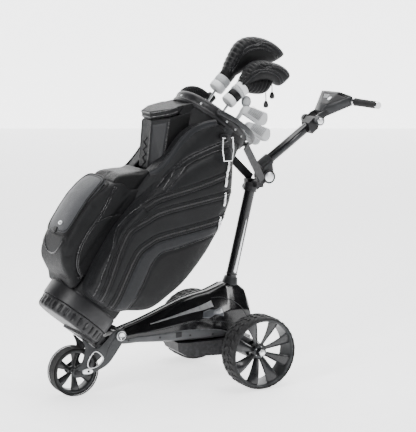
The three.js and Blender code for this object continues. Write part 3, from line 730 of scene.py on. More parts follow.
def grooved(obj, lines, depth, width):
    """Presses sewn channels along lines into a padded surface: depth and width in millimetres."""
    samples = [Vector(p) for line in lines for p in line]
    finder = KDTree(len(samples))
    for i, p in enumerate(samples):
        finder.insert(p, i)
    finder.balance()
    mesh = obj.data
    moves = []
    for v in mesh.vertices:
        _, _, away = finder.find(v.co)
        sink = depth * math.exp(-0.5 * (away / (width * MM)) ** 2)
        moves.append(v.co - v.normal * sink * MM)
    for v, to in zip(mesh.vertices, moves):
        v.co = to
    mesh.update()
    return obj


def remeshed(obj, voxel):
    """Rebuilds a mesh as an even skin; overlapping closed bodies become one."""
    skin = obj.modifiers.new("skin", "REMESH")
    skin.mode = "VOXEL"
    skin.voxel_size = voxel * MM
    skin.use_smooth_shade = True
    return applied(obj)


def inflated(obj, voxel=5.0, pressure=4.0, cap=8.0, held=None, smooth=2):
    """Turns a block into padded fabric: an even skin, blown up by a cloth simulation.
    No point moves further than cap millimetres, and held says which points stay where they are."""
    material = obj.data.materials[0]
    remeshed(obj, voxel)
    mesh = obj.data
    if not mesh.materials:
        mesh.materials.append(material)
    rest = np.zeros(len(mesh.vertices) * 3)
    mesh.vertices.foreach_get("co", rest)
    rest = rest.reshape(-1, 3)
    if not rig.quick():
        pins = obj.vertex_groups.new(name="held")
        if held:
            pins.add([i for i, at in enumerate(rest) if held(Vector(at))], 1.0, "REPLACE")
        sim = obj.modifiers.new("sim", "CLOTH")
        settings = sim.settings
        settings.quality = 4
        settings.use_pressure = True
        settings.uniform_pressure_force = pressure
        settings.tension_stiffness = settings.compression_stiffness = 18
        settings.shear_stiffness = 8
        settings.bending_stiffness = 0.6
        settings.effector_weights.gravity = 0
        if held:
            settings.vertex_group_mass = "held"
        sim.point_cache.frame_start, sim.point_cache.frame_end = 1, CLOTH_FRAMES
        scene = bpy.context.scene
        for number in range(1, CLOTH_FRAMES + 1):
            scene.frame_set(number)
        graph = bpy.context.evaluated_depsgraph_get()
        blown = np.zeros(len(mesh.vertices) * 3)
        obj.evaluated_get(graph).data.vertices.foreach_get("co", blown)
        moved = blown.reshape(-1, 3) - rest
        far = np.linalg.norm(moved, axis=1)
        limit = cap * MM
        moved *= (limit * np.tanh(far / limit) / (far + 1e-12))[:, None]
        obj.modifiers.remove(sim)
        obj.vertex_groups.clear()
        scene.frame_set(1)
        mesh.vertices.foreach_set("co", (rest + moved).ravel())
        mesh.update()
    if smooth:
        soft = obj.modifiers.new("soft", "SMOOTH")
        soft.iterations = smooth
        applied(obj)
    subdivided(obj)
    applied(obj)
    obj.data.polygons.foreach_set("use_smooth", [True] * len(obj.data.polygons))
    return obj


# ---- stage, camera and light ----
FLOOR_GLOW = 1.7
BACKDROP_GLOW = 2.9
WORLD_GLOW = 0.05


def glowing(name, strength):
    """A pale matt surface that also gives off a little even light, as a lit studio sheet does."""
    material = plastic(name, (0.80, 0.80, 0.81), (0.86, 0.86, 0.87), (0.7, 0.9), texture=0.02, wear=0.0)
    shader = material.node_tree.nodes["Principled BSDF"]
    shader.inputs["Emission Color"].default_value = (1, 1, 1, 1)
    shader.inputs["Emission Strength"].default_value = strength
    return material


FLOOR_HALF = 16
floor_corners = [
    (-FLOOR_HALF, -FLOOR_HALF, 0), (FLOOR_HALF, -FLOOR_HALF, 0), (FLOOR_HALF, FLOOR_HALF, 0),
    (-FLOOR_HALF, FLOOR_HALF, 0)
]
ground = solid("ground", floor_corners, [(0, 1, 2, 3)], glowing("ground_white", FLOOR_GLOW))
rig.stage(ground)
world = bpy.data.worlds.new("studio")
bpy.context.scene.world = world
world.use_nodes = True
world.node_tree.nodes["Background"].inputs["Color"].default_value = (0.98, 0.985, 1.0, 1)
world.node_tree.nodes["Background"].inputs["Strength"].default_value = WORLD_GLOW

AIM = Vector((0.0286, 0.0, 0.6017))
CAMERA_AZIMUTH = math.radians(29.36)
CAMERA_HEIGHT = math.radians(9.78)
CAMERA_AWAY = 5.848
FOCAL_LENGTH = 132.1
level = Vector((-math.sin(CAMERA_AZIMUTH), -math.cos(CAMERA_AZIMUTH), 0))
lens = bpy.data.cameras.new("camera")
lens.lens = FOCAL_LENGTH
lens.sensor_width = 36
camera = bpy.data.objects.new("camera", lens)
bpy.context.scene.collection.objects.link(camera)
camera.location = AIM + (
    level * math.cos(CAMERA_HEIGHT) + Vector((0, 0, 1)) * math.sin(CAMERA_HEIGHT)
) * CAMERA_AWAY
camera.rotation_euler = (AIM - camera.location).to_track_quat("-Z", "Y").to_euler()
bpy.context.scene.camera = camera

away = -level
side_way = Vector((-away.y, away.x, 0))
BACKDROP_AWAY = 8
backdrop_corners = [
    away * BACKDROP_AWAY + side_way * h + Vector((0, 0, z)) for h,
    z in ((-14, -0.5), (14, -0.5), (14, 12), (-14, 12))
]
backdrop = solid("backdrop", backdrop_corners, [(0, 1, 2, 3)], glowing("backdrop_white", BACKDROP_GLOW))
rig.stage(backdrop)


def area_light(name, at, power, width, height):
    lamp = bpy.data.lights.new(name, "AREA")
    lamp.shape = "RECTANGLE"
    lamp.size, lamp.size_y = width, height
    lamp.energy = power
    made = bpy.data.objects.new(name, lamp)
    bpy.context.scene.collection.objects.link(made)
    made.location = at
    made.rotation_euler = (Vector((0, 0, 0.6)) - Vector(at)).to_track_quat("-Z", "Y").to_euler()


area_light("overhead", (0.3, -0.2, 3.8), 150, 2.6, 2.6)
area_light("front_left", (-3.6, -1.6, 2.2), 150, 0.5, 2.2)
area_light("right", (2.4, -3.4, 2.4), 60, 0.5, 2.2)


# ---- bag: side pockets ----
SIDE_OUTLINE = [
    (-118, 300), (-122, 380), (-104, 535), (-40, 700), (16, 800), (52, 844), (108, 790),
    (160, 715), (184, 655),
    (202, 577), (210, 478), (207, 367), (188, 287), (154, 200), (92, 152), (34, 114), (-70, 112), (-104, 190),
]
SIDE_MIDDLE = (44, 470)
SIDE_LAYERS = [
    (70, 0.98), (110, 1.0), (158, 1.0), (170, 0.99), (178, 0.965), (184, 0.93), (188, 0.88),
    (191, 0.78), (192.5, 0.6),
    (193, 0.35), (193, 0.1),
]
outline = spline(SIDE_OUTLINE, 96, True)
sections = []
for depth, amount in SIDE_LAYERS:
    sections.append(
        [
            bag(
                SIDE_MIDDLE[0] + (u - SIDE_MIDDLE[0]) * amount, -depth,
                SIDE_MIDDLE[1] + (w - SIDE_MIDDLE[1]) * amount
            ) for u,
            w in outline
        ]
    )

# The yoke lies on the shell above the pocket, between the cooler and the rim.
YOKE = [
    (-122, 480), (-132, 560), (-120, 610), (-113, 670), (-115, 730), (-108, 790), (-66, 868),
    (-10, 884), (60, 884), (112, 850),
    (125, 770), (70, 740), (0, 640), (-60, 520),
]
yoke_loop = spline(YOKE, 72, True)
yoke_middle = np.mean(yoke_loop, 0)
yoke_sections = []
for lift, amount in ((-24, 1.0), (6, 1.0), (13, 0.985), (17, 0.95), (19, 0.86), (20, 0.6), (20, 0.2)):
    rows = []
    for u, w in yoke_loop:
        u, w = yoke_middle + (np.array((u, w)) - yoke_middle) * amount
        radius = shell_radius(w) + lift
        rows.append(bag(u, -math.sqrt(max(radius**2 - u**2, 45**2)), w))
    yoke_sections.append(rows)
side = merged("side_pocket_left_skin", [loft(sections), loft(yoke_sections)], PANEL_LEATHER)
inflated(side, voxel=5.0, pressure=5.0, cap=5.0, held=lambda p: p.y > -0.12)
FROM_LEFT = Vector((0, 1, 0))


def side_path(points, count=90, tight=0.5):
    return spline(points, count, False, tight)


def beside(path, distance):
    """A path in (u, w) moved sideways, to its left when distance is positive."""
    ahead = np.gradient(path, axis=0)
    ahead /= np.linalg.norm(ahead, axis=1)[:, None]
    return path + np.column_stack([-ahead[:, 1], ahead[:, 0]]) * distance


def near_left(path):
    return [bag(u, -230, w) for u, w in path]


ZIP_TOP = side_path([(-100, 470), (-84, 513), (-53, 561), (20, 655), (96, 765)])
ZIP_MIDDLE = side_path(
    [
        (-30, 116), (-49, 170), (-78, 262), (-95, 334), (-97, 380), (-74, 438), (-44, 495), (48, 602),
        (150, 716)
    ]
)
ZIP_LOW = side_path(
    [(18, 117), (-6, 205), (-26, 290), (-31, 338), (-18, 378), (8, 425), (108, 540), (190, 638)]
)
PANEL_EDGE = side_path(
    [(74, 150), (58, 251), (40, 323), (39, 360), (50, 390), (84, 429), (182, 556)], tight=0.35
)
YOKE_SEAM = side_path([(-92, 560), (-83, 630), (-70, 700), (-34, 775), (20, 858)])
YOKE_SEAM_LOW = side_path([(-72, 560), (-62, 632), (-46, 700), (-8, 770), (44, 842)])
OUTER_SEAM = side_path(
    [(-60, 118), (-82, 190), (-104, 280), (-117, 340), (-118, 385), (-110, 450), (-100, 500)]
)
ZIP_CHANNEL = 11
LEFT_LINES = [ZIP_TOP, ZIP_MIDDLE, ZIP_LOW, PANEL_EDGE, YOKE_SEAM, YOKE_SEAM_LOW, OUTER_SEAM]

surface = tree_of(side)
channels = []
for line in LEFT_LINES:
    for gap in (
        -ZIP_CHANNEL, ZIP_CHANNEL
    ) if line is ZIP_TOP or line is ZIP_MIDDLE or line is ZIP_LOW else (0,):
        channels.append(pressed(surface, near_left(beside(line, gap)), FROM_LEFT)[0])
grooved(side, channels, 3.2, 3.6)
surface = tree_of(side)


def side_sweep(path, section, lift=0.0):
    points, normals = pressed(surface, near_left(path), FROM_LEFT, lift=lift)
    return swept(points, section, normals)


def side_patch(name, first, second, material, thick, across):
    """A panel laid on the side pocket between two lines and let into it at its border."""
    parts = []
    for j in range(across + 1):
        t = j / across
        path = first * (1 - t) + second * t
        points, normals = pressed(surface, near_left(path), FROM_LEFT)
        lifts = np.full(len(points), thick if 0 < j < across else -1.5)
        lifts[0] = lifts[-1] = -1.5
        parts.append([p + Vector(n) * lift * MM for p, n, lift in zip(points, normals, lifts)])
    points = [p for line in parts for p in line]
    under = [p + Vector((0, 6 * MM, 0)) for p in points]
    return slab(name, points, under, len(parts), len(parts[0]), material)


WELT = [(-3.6, -2), (3.6, -2), (3.6, 0.6), (2.6, 2.4), (0.9, 3.3), (-0.9, 3.3), (-2.6, 2.4), (-3.6, 0.6)]
COIL = [(-2.4, -1), (2.4, -1), (2.4, 1.4), (1.4, 2.4), (-1.4, 2.4), (-2.4, 1.4)]
left_pieces = [side]
zips = {"top": ZIP_TOP, "middle": ZIP_MIDDLE, "low": ZIP_LOW}
for label, line in zips.items():
    tape = merged(f"zip_tape_{label}_left", [side_sweep(line, strip(15, 0.9, -3), 0.4)], ZIP_TAPE)
    coil = merged(f"zip_coil_{label}_left", [side_sweep(line, COIL, 0.8)], ZIP_COIL)
    welts = merged(
        f"zip_welts_{label}_left",
        [side_sweep(beside(line, 9.2), WELT), side_sweep(beside(line, -9.2), WELT)], PANEL_LEATHER
    )
    left_pieces += [tape, coil, welts]
cords = [
    side_sweep(beside(OUTER_SEAM, 3), ring(2.4)), side_sweep(YOKE_SEAM, ring(2.6)),
    side_sweep(beside(YOKE_SEAM, -8), ring(2.6)), side_sweep(YOKE_SEAM_LOW, ring(2.4))
]
left_pieces.append(merged("side_piping_left", cords, PIPING))
band = side_patch("side_band_left", beside(ZIP_LOW, -15), PANEL_EDGE, BAND_LEATHER, 2.6, 8)
corner = side_path([(96, 158), (150, 205), (184, 292), (200, 367), (203, 470), (197, 520)])
inset = side_patch("side_inset_left", beside(PANEL_EDGE, -3.5), corner, BLACK_LEATHER, 1.2, 16)
edge_cord = merged("inset_piping_left", [side_sweep(beside(PANEL_EDGE, -1.5), ring(1.9))], PIPING)
left_pieces += [band, inset, edge_cord]

# Zip pulls: a silver tab on a short loop at the rear end of each zip.
PULLS = [((66, 778), (80, 748)), ((86, 742), (103, 710)), ((126, 684), (143, 654)), ((166, 606), (184, 574))]
for number, (top, bottom) in enumerate(PULLS):
    path = spline([top, ((top[0] + bottom[0]) / 2 + 1, (top[1] + bottom[1]) / 2), bottom], 14)
    points, normals = pressed(surface, near_left(path), FROM_LEFT, lift=5.5)
    size = [0.75, 0.95] + [1.0] * 10 + [0.95, 0.7]
    tab = [(-4.2, -1.6), (4.2, -1.6), (5.0, 0), (4.2, 1.6), (-4.2, 1.6), (-5.0, 0)]
    left_pieces.append(merged(f"zip_pull_{number}_left", [swept(points, tab, normals, size=size)], SILVER))
    start, lean = pressed(surface, near_left(spline([top, (top[0] - 6, top[1] + 10)], 6)), FROM_LEFT, lift=4)
    left_pieces.append(
        merged(
            f"zip_slider_{number}_left", [swept(start, [(-3.4, -3), (3.4, -3), (3.4, 2), (-3.4, 2)], lean)],
            CHROME
        )
    )

for piece in left_pieces:
    soft = "skin" in piece.name
    keep(
        piece, "root", "chrome" if "pull" in piece.name or "slider" in piece.name else "pocket_fabric",
        *(["side_pocket_left"] if soft else [])
    )
    twin = mirrored(piece, piece.name.replace("left", "right"))
    keep(twin, "root", piece["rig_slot"], *(["side_pocket_right"] if soft else []))
    if soft:
        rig.padded(piece, fill=0.7)
        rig.padded(twin, fill=0.7)


# ---- bag: ball pocket, its lid and the pouch above it ----
def across_loft(outline, layers, middle):
    """A body whose side profile in (u, w) is carried across y; layers are (y, share of the profile)."""
    sections = []
    for depth, amount in layers:
        sections.append(
            [
                bag(middle[0] + (u - middle[0]) * amount, depth, middle[1] + (w - middle[1]) * amount) for u,
                w in outline
            ]
        )
    return loft(sections)


def block(name, outline, half, middle, material, soft=0.12, count=64):
    """A soft box: its profile carried from side to side, with rounded shoulders."""
    rim = [
        (1.0, 1 - soft), (0.985, 1 - soft * 0.45), (0.94, 1 - soft * 0.12), (0.86, 1.0), (0.6, 1.0),
        (0.3, 1.0)
    ]
    layers = [(-half * a, b) for a, b in rim] + [(half * a, b) for a, b in rim[::-1]]
    return merged(name, [across_loft(spline(outline, count, True, 0.4), layers, middle)], material)


def hollowed(obj, cutter_parts):
    """Cuts closed bodies away from a mesh."""
    cutter = merged(obj.name + "_cutter", cutter_parts, obj.data.materials[0])
    away = obj.modifiers.new("hollow", "BOOLEAN")
    away.operation = "DIFFERENCE"
    away.solver = "EXACT"
    away.object = cutter
    applied(obj)
    bpy.data.objects.remove(cutter)
    return obj


# Faces of a box whose corners run over its first, second and third way in turn.
BOX_FACES = [(0, 1, 3, 2), (4, 6, 7, 5), (0, 4, 5, 1), (2, 3, 7, 6), (0, 2, 6, 4), (1, 5, 7, 3)]


def bag_box(low, high):
    """(points, faces) of a box in the bag's frame."""
    corners = [bag(u, y, w) for u in (low[0], high[0]) for y in (low[1], high[1]) for w in (low[2], high[2])]
    return corners, BOX_FACES


def polar(radius, turn, w):
    """A point at a radius and a turn in radians about the bag's axis; 0 is the rear, negative the left."""
    return bag(radius * math.cos(turn), radius * math.sin(turn), w)


def local(p):
    """A row-frame point in the bag's frame, in millimetres."""
    x, z = p[0] / MM - BAG_FOOT[0], p[2] / MM - BAG_FOOT[1]
    return x * COS - z * SIN, p[1] / MM, x * SIN + z * COS


BALL = [
    (-100, 120), (-140, 122), (-200, 150), (-234, 212), (-246, 300), (-249, 380), (-226, 462), (-190, 502),
    (-150, 506), (-100, 506)
]
ball = block("ball_pocket_skin", BALL, 101, (-150, 315), BLACK_LEATHER, 0.10)
hollowed(ball, [bag_box((-300, -70, 252), (-160, 70, 462))])
inflated(
    ball, 5.0, 5.0, 6.0, lambda p: local(p)[0] > -140 or (abs(local(p)[1]) < 76 and 240 < local(p)[2] < 476)
)
skin = tree_of(ball)
near_side = bag_way(0.25, 1, 0)
GUSSET = [
    (-222, 474), (-216, 430), (-207, 366), (-206, 290), (-198, 232), (-180, 190), (-150, 162), (-112, 150)
]
gusset = spline(GUSSET, 70)
gusset_points, _ = pressed(skin, [bag(u, -170, w) for u, w in gusset], near_side)
seam = spline([(-206, 330), (-178, 372), (-150, 402), (-118, 420)], 40)
seam_points, _ = pressed(skin, [bag(u, -170, w) for u, w in seam], near_side)
both = gusset_points + seam_points
grooved(ball, [both, [Vector((p.x, -p.y, p.z)) for p in both]], 3.0, 3.4)
skin = tree_of(ball)
left_cords = []
for path, thick in ((gusset, 2.7), (gusset + np.array((7, 2)), 1.6), (seam, 1.3)):
    points, normals = pressed(skin, [bag(u, -170, w) for u, w in path], near_side)
    left_cords.append(swept(points, ring(thick), normals))
piping = merged("ball_piping_left", left_cords, PIPING)
keep(ball, "root", "leather", "ball_pocket")
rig.padded(ball, fill=0.8)
keep(piping, "root", "leather")
keep(mirrored(piping, "ball_piping_right"), "root", "leather")

# A low oval pocket on the front, under the lid.
FRONT = bag_way(1, 0, 0)
arc = spline([(-72, 216), (-60, 190), (-34, 172), (0, 166), (34, 172), (60, 190), (72, 216)], 60)
front_points, front_normals = pressed(skin, [bag(-330, y, w) for y, w in arc], FRONT)
put("front_pocket_piping", [swept(front_points, ring(2.4), front_normals)], PIPING, "root", "leather")
mouth_loop = spline([(-78, 246), (-78, 466), (78, 466), (78, 246)], 100, True, 0.28)
mouth_points, mouth_normals = pressed(skin, [bag(-330, y, w) for y, w in mouth_loop], FRONT)
put(
    "ball_mouth_zip", [swept(mouth_points, strip(10, 1.8, -2), mouth_normals, True)], ZIP_TAPE, "root",
    "leather"
)


def pad(name, outline, place, material, thick, crown=2.0, base=0.0, rings=10):
    """A raised pad with rounded shoulders over an outline of (a, b).
    place(a, b, height) puts a point on its ground."""
    middle = np.mean(outline, 0)
    levels = [
        (1.0, base), (1.0, base + thick * 0.55), (0.992, base + thick * 0.8), (0.975, base + thick * 0.94),
        (0.95, base + thick)
    ]
    for i in range(1, rings):
        share = 0.95 * (1 - i / rings)
        levels.append((share, base + thick + crown * (1 - (share / 0.95) ** 2)))
    rows = []
    for share, height in levels:
        rows.append([place(*(middle + (np.array(p) - middle) * share), height) for p in outline])
    points, faces = loft(rows)
    return merged(name, [(points, faces)], material)


def lid_ground(y, w, height):
    """The ball pocket's front surface under its lid, bent back at the sides."""
    u = np.interp(w, [232, 270, 330, 380, 430, 460, 484], [-241, -247, -252.5, -254.5, -249, -241.5, -233.5])
    bend = 9 * abs(y / 88) ** 3
    slope = np.interp(w, [232, 300, 380, 440, 484], [0.10, 0.06, -0.02, -0.2, -0.3])
    return bag(u + bend - height * 0.97, y * (1 + 0.0004 * height), w - height * slope)


lid_outline = spline(
    [
        (-84, 262), (-70, 238), (-30, 232), (30, 232), (70, 238), (84, 262), (87, 340), (84, 430), (72, 470),
        (40, 482), (-40, 482), (-72, 470), (-84, 430), (-87, 340)
    ],
    110, True, 0.42
)
lid = pad("ball_lid_pad", lid_outline, lid_ground, GREY_LEATHER, 9.0, 3.0, -1.0)
keep(lid, "ball_lid", "grey_leather", "ball_pocket_lid")
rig.padded(lid, fill=0.6)


def lid_loop(share, height):
    middle = np.mean(lid_outline, 0)
    return [lid_ground(*(middle + (np.array(p) - middle) * share), height) for p in lid_outline]


lip = merged(
    "ball_lid_lip",
    [swept(lid_loop(0.985, 6.5), ring(3.6), closed=True), swept(lid_loop(0.92, 8.6), ring(1.2), closed=True)],
    DEEP_LEATHER
)
keep(lip, "ball_lid", "leather")
badge_loop = [(-16 + 13 * math.cos(TAU * i / 40), 268 + 7.5 * math.sin(TAU * i / 40)) for i in range(40)]
badge = pad("lid_badge", badge_loop, lid_ground, SILVER, 2.4, 0.6, 9.2, 4)
keep(badge, "ball_lid", "grey_leather")
eye_loop = [(-16 + 5 * math.cos(TAU * i / 24), 268 + 2.9 * math.sin(TAU * i / 24)) for i in range(24)]
keep(pad("lid_badge_eye", eye_loop, lid_ground, SATIN_BLACK, 1.0, 0.2, 11.6, 3), "ball_lid", "satin_black")
tab_loop = spline([(-14, 228), (14, 228), (12, 250), (-12, 250)], 40, True, 0.3)
keep(pad("lid_pull_tab", tab_loop, lid_ground, DEEP_LEATHER, 3.0, 0.4, 8.4, 4), "ball_lid", "leather")

POUCH = [
    (-100, 474), (-194, 474), (-214, 492), (-208, 514), (-178, 544), (-148, 571), (-128, 597), (-100, 599)
]
pouch = block("front_pouch_skin", POUCH, 93, (-140, 545), DEEP_LEATHER, 0.16)
inflated(pouch, 4.0, 5.0, 5.0, lambda p: local(p)[0] > -128)
keep(pouch, "root", "leather", "front_pouch")
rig.padded(pouch, fill=0.7)

# ---- bag: shell ----
def waisted(turn, w):
    """How far the shell is drawn in at the front, behind the cooler pocket."""
    off_front = abs(math.degrees(turn) - 180)
    across = min(1, max(0, (84 - off_front) / 36))
    along = min(1, max(0, (w - 520) / 80)) * min(1, max(0, (872 - w) / 110))
    return 1 - 0.26 * across * across * (3 - 2 * across) * along * along * (3 - 2 * along)


rows = []
columns = 120
levels = np.linspace(SHELL_FOOT, SHELL_TOP, 60)
for w in levels:
    line = []
    for i in range(columns):
        turn = TAU * i / columns
        sag = 1.3 * math.sin(turn * 3 + w * 0.011) * math.sin(w * 0.017) + 0.8 * math.sin(turn * 7 - w * 0.02)
        ends = min(1.0, (w - SHELL_FOOT) / 60, (SHELL_TOP - w) / 60)
        radius = (shell_radius(w) + sag * ends - 0.6) * waisted(turn, w)
        line.append(polar(radius, turn, w))
    rows.append(line)
WALL = 6
for w in [SHELL_TOP, *levels[::-1][1:-4:2], 66, 62]:
    line = []
    for i in range(columns):
        turn = TAU * i / columns
        radius = (shell_radius(w) - WALL) * waisted(turn, w)
        line.append(polar(radius, turn, w))
    rows.append(line)
for radius, w in ((40, 62), (2, 62)):
    rows.append([polar(radius, TAU * i / columns, w) for i in range(columns)])
foot_ring = [polar(2, TAU * i / columns, SHELL_FOOT) for i in range(columns)]
shell = merged("bag_shell_skin", [loft([foot_ring, *rows])], BLACK_LEATHER)
shaded(shell, 50)
keep(shell, "root", "leather", "bag_shell")
skin = tree_of(shell)
back_cords = []
for turn in (-38, -30, 30, 38):
    heights = np.linspace(112, 880, 80)
    line = [polar(190, math.radians(turn), w) for w in heights]
    points, normals = [], []
    for at, w in zip(line, heights):
        inward = bag(0, 0, w) - at
        hit = skin.ray_cast(at, inward.normalized())
        points.append(hit[0])
        normals.append(hit[1])
    back_cords.append(swept(points, ring(2.6), normals))
put("back_piping", back_cords, PIPING, "root", "leather")


def shell_ground(turn, w, height):
    """A point over the shell at a turn in degrees about the bag's axis; 0 is the rear, -90 the left side."""
    return polar(shell_radius(w) + height, math.radians(turn), w)


hip_loop = spline(
    [(-22, 300), (-24, 420), (-20, 560), (0, 600), (20, 560), (24, 420), (22, 300), (0, 270)], 90, True
)
hip = pad("hip_pad", hip_loop, shell_ground, PANEL_LEATHER, 12, 7, -2, 14)
keep(hip, "root", "grey_leather")
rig.padded(hip, fill=0.7)
hip_middle = np.mean(hip_loop, 0)
hip_cords = []
for share in (1.0, 0.72, 0.44):
    rise = 2 if share == 1.0 else 10 + 7 * (1 - share**2)
    hip_cords.append(
        swept(
            [shell_ground(*(hip_middle + (p - hip_middle) * share), rise + 0.6) for p in hip_loop], ring(2.0),
            closed=True
        )
    )
put("hip_pad_piping", hip_cords, PIPING, "root", "leather")

# Foot band and base.
band_rows = []
for radius, w in (
    (0.4, 47.2), (3.0, 48.5), (4.0, 53), (4.0, 96), (3.2, 102), (0.4, 105), (-4, 104), (-4, 48)
):
    band_rows.append([shell_ground(360 * i / 96, w, radius) for i in range(96)])
foot_band = merged(
    "foot_band", [(sum(band_rows, []), grid_faces(len(band_rows), 96, True, True))], SATIN_BLACK
)
keep(shaded(foot_band, 40), "root", "leather")
cuts = 28
base_rows = []
profile = [
    (20, 0), (112, 0), (120, 1.5), (124.5, 6), (126.5, 12), (127.5, 20), (127.5, 36), (129.5, 39),
    (129.8, 44), (128, 46), (20, 46)
]
for radius, w in profile:
    line = []
    for i in range(cuts * 8):
        turn = TAU * i / (cuts * 8)
        groove = 3.4 if 10 < w < 37 and radius > 100 and i % 8 in (0, 1) else 0.0
        facet = 1.2 * math.cos(turn * cuts) if 10 < w < 37 else 0.0
        r = radius - groove - (facet if radius > 100 else 0)
        line.append(polar(r, turn, w))
    base_rows.append(line)
base = merged("bag_base_cup", [loft(base_rows)], SATIN_BLACK)
keep(shaded(base, 35), "root", "satin_black", "bag_base")

# Rim: a moulded ring with a raised lower band, a lip and shallow ribs.
rim_rows = []
for radius, w in (
    (138.4, 884.8), (150, 884.8), (152.2, 887), (152.6, 896), (150.6, 899), (150.6, 912), (152.2, 915),
    (152.4, 921), (149.5, 927), (145, 929.8), (141, 929.4), (138.4, 926)
):
    line = []
    for i in range(160):
        rib = -0.9 if 899 <= w <= 912 and i % 5 == 0 and radius > 145 else 0
        line.append(polar(radius + rib, TAU * i / 160, w))
    rim_rows.append(line)
rim = merged("bag_rim_ring", [(sum(rim_rows, []), grid_faces(len(rim_rows), 160, True, True))], SATIN_BLACK)
keep(shaded(rim, 35), "root", "satin_black", "bag_rim")


def rim_point(turn, out, w):
    """A point beside the rim; the turn is in degrees."""
    return polar(out, math.radians(turn), w)


handle_path = []
for i in range(33):
    t = i / 32
    lift = math.sin(math.pi * t)
    handle_path.append(rim_point(-112 + 104 * t, MOUTH_RADIUS + 13.5 + lift * 19, RIM_TOP - 14 + lift * 14))
grip_section = [
    (-8.5, -3.2), (-5, -5.2), (5, -5.2), (8.5, -3.2), (8.5, 3.2), (5, 5.2), (-5, 5.2), (-8.5, 3.2)
]
outwards = [p - bag(0, 0, 930) for p in handle_path]
handle_bar = merged("rim_handle_bar", [swept(handle_path, grip_section, outwards)], GREY_MOULDING)
keep(shaded(handle_bar, 40), "root", "satin_black", "rim_handle")
roots = []
for turn in (-112, -9):
    spot = rim_point(turn, MOUTH_RADIUS + 8, RIM_TOP - 16)
    out = (spot - bag(0, 0, RIM_TOP - 16)).normalized()
    roots.append(lathe([(11, -6), (11, 5), (9, 8), (3, 9.4), (0.2, 9.6)], spot, out, 28))
put("rim_handle_roots", roots, SATIN_BLACK, "root", "satin_black")
screws = []
for turn in (-96, -78, -60, -42, -20, 20, 60, 100, 140, 180, 220):
    spot = rim_point(turn, 150.4, 905.5)
    out = (spot - bag(0, 0, 905.5)).normalized()
    screws.append(
        lathe([(4.2, -1), (4.2, 1.2), (3.2, 2.0), (1.7, 1.8), (1.5, 0.6), (0.2, 0.5)], spot, out, 20)
    )
put("rim_screws", screws, STEEL, "root", "steel")

# The trolley's upper strap, with its buckle.
strap_line = []
for t in np.linspace(0, 1, 50):
    turn = -44 - 58 * t
    strap_line.append(rim_point(turn, 156.0 + 17 * math.sin(math.pi * min(1, t * 1.1)) ** 2, 893 - 26 * t))
strap_out = [p - bag(0, 0, 880) for p in strap_line]
put("bag_strap", [swept(strap_line, strip(24, 1.6, -1), strap_out)], WEBBING, "root", "satin_black")
mid = strap_line[38]
out = strap_out[38].normalized()
side_way = (strap_line[39] - strap_line[37]).normalized()
up_way = out.cross(side_way)
buckle_parts = []
for a, b, c, d, e in (
    (-17, 17, -16, 16, 5.5), (-12, 12, -18, -12, 8), (-12, 12, 12, 18, 8), (-4, 4, -14, 14, 8.5)
):
    corners = [
        mid + (side_way * x + up_way * y + out * z) * MM for x in (a, b) for y in (c, d) for z in (0, e)
    ]
    buckle_parts.append((corners, BOX_FACES))
keep(rounded(merged("strap_buckle", buckle_parts, GREY_MOULDING), 1.4), "root", "satin_black")

# Cooler pocket: an upright box with a faceted front and a lid.
def facets(corners):
    """The convex body around points."""
    shape = bmesh.new()
    for p in corners:
        shape.verts.new(p)
    bmesh.ops.convex_hull(shape, input=shape.verts)
    loose = [v for v in shape.verts if not v.link_faces]
    bmesh.ops.delete(shape, geom=loose, context="VERTS")
    shape.verts.index_update()
    points = [v.co.copy() for v in shape.verts]
    faces = [tuple(v.index for v in f.verts) for f in shape.faces]
    shape.free()
    return points, faces


FACE, HALF = 35, 81
cooler_corners = [bag(u, s * FACE, w) for s in (-1, 1) for u, w in ((-108, 610), (-208, 754))]
cooler_corners += [
    bag(u, s * HALF, w) for s in (-1, 1) for u, w in ((-86, 640), (-176.5, 794), (-90, 660), (-96, 893))
]
cooler = merged("cooler_skin", [facets(cooler_corners)], PANEL_LEATHER)
COOLER_HOLLOW = [(-151, 705), (-158, 705), (-179, 754), (-179, 960), (-151, 960)]
hollowed(cooler, [facets([bag(u, y, w) for y in (-44, 44) for u, w in COOLER_HOLLOW])])
hollowed(
    cooler,
    [
        lathe(
            [(1, 560), (98, 560), (100, 800), (136, 880), (138, 960), (1, 960)], bag(0, 0, 0),
            bag_way(0, 0, 1), 72
        )
    ]
)


def softened(obj, iterations):
    """An even skin whose edges are worn round."""
    remeshed(obj, 3.0)
    smoother = obj.modifiers.new("soft", "SMOOTH")
    smoother.iterations = iterations
    applied(obj)
    obj.data.polygons.foreach_set("use_smooth", [True] * len(obj.data.polygons))


softened(cooler, 2)
keep(cooler, "root", "leather", "cooler_pocket")
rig.padded(cooler, fill=0.9)


def cooler_edge(u0, w0, u1, w1, y):
    return [bag(u0 + (u1 - u0) * t, y, w0 + (w1 - w0) * t) for t in np.linspace(0, 1, 40)]


skin = tree_of(cooler)
cords = []
for sign in (-1, 1):
    for start, end, y in (((-128, 638), (-207, 751), FACE), ((-104, 664), (-175, 790), HALF)):
        path = cooler_edge(*start, *end, sign * (y + 1))
        points, normals = pressed(skin, path, bag_way(0.8, -sign * 0.5, 0), 40)
        cords.append(swept(points, ring(2.2), normals))
put("cooler_piping", cords, PIPING, "root", "leather")


def between(corners, count):
    """A grid of points spread evenly between four corners."""
    a, b, c, d = (np.array(v, float) for v in corners)
    steps = np.linspace(0, 1, count)
    return [(a * (1 - t) + b * t) * (1 - s) + (d * (1 - t) + c * t) * s for s in steps for t in steps]


PANEL_CELLS = 18


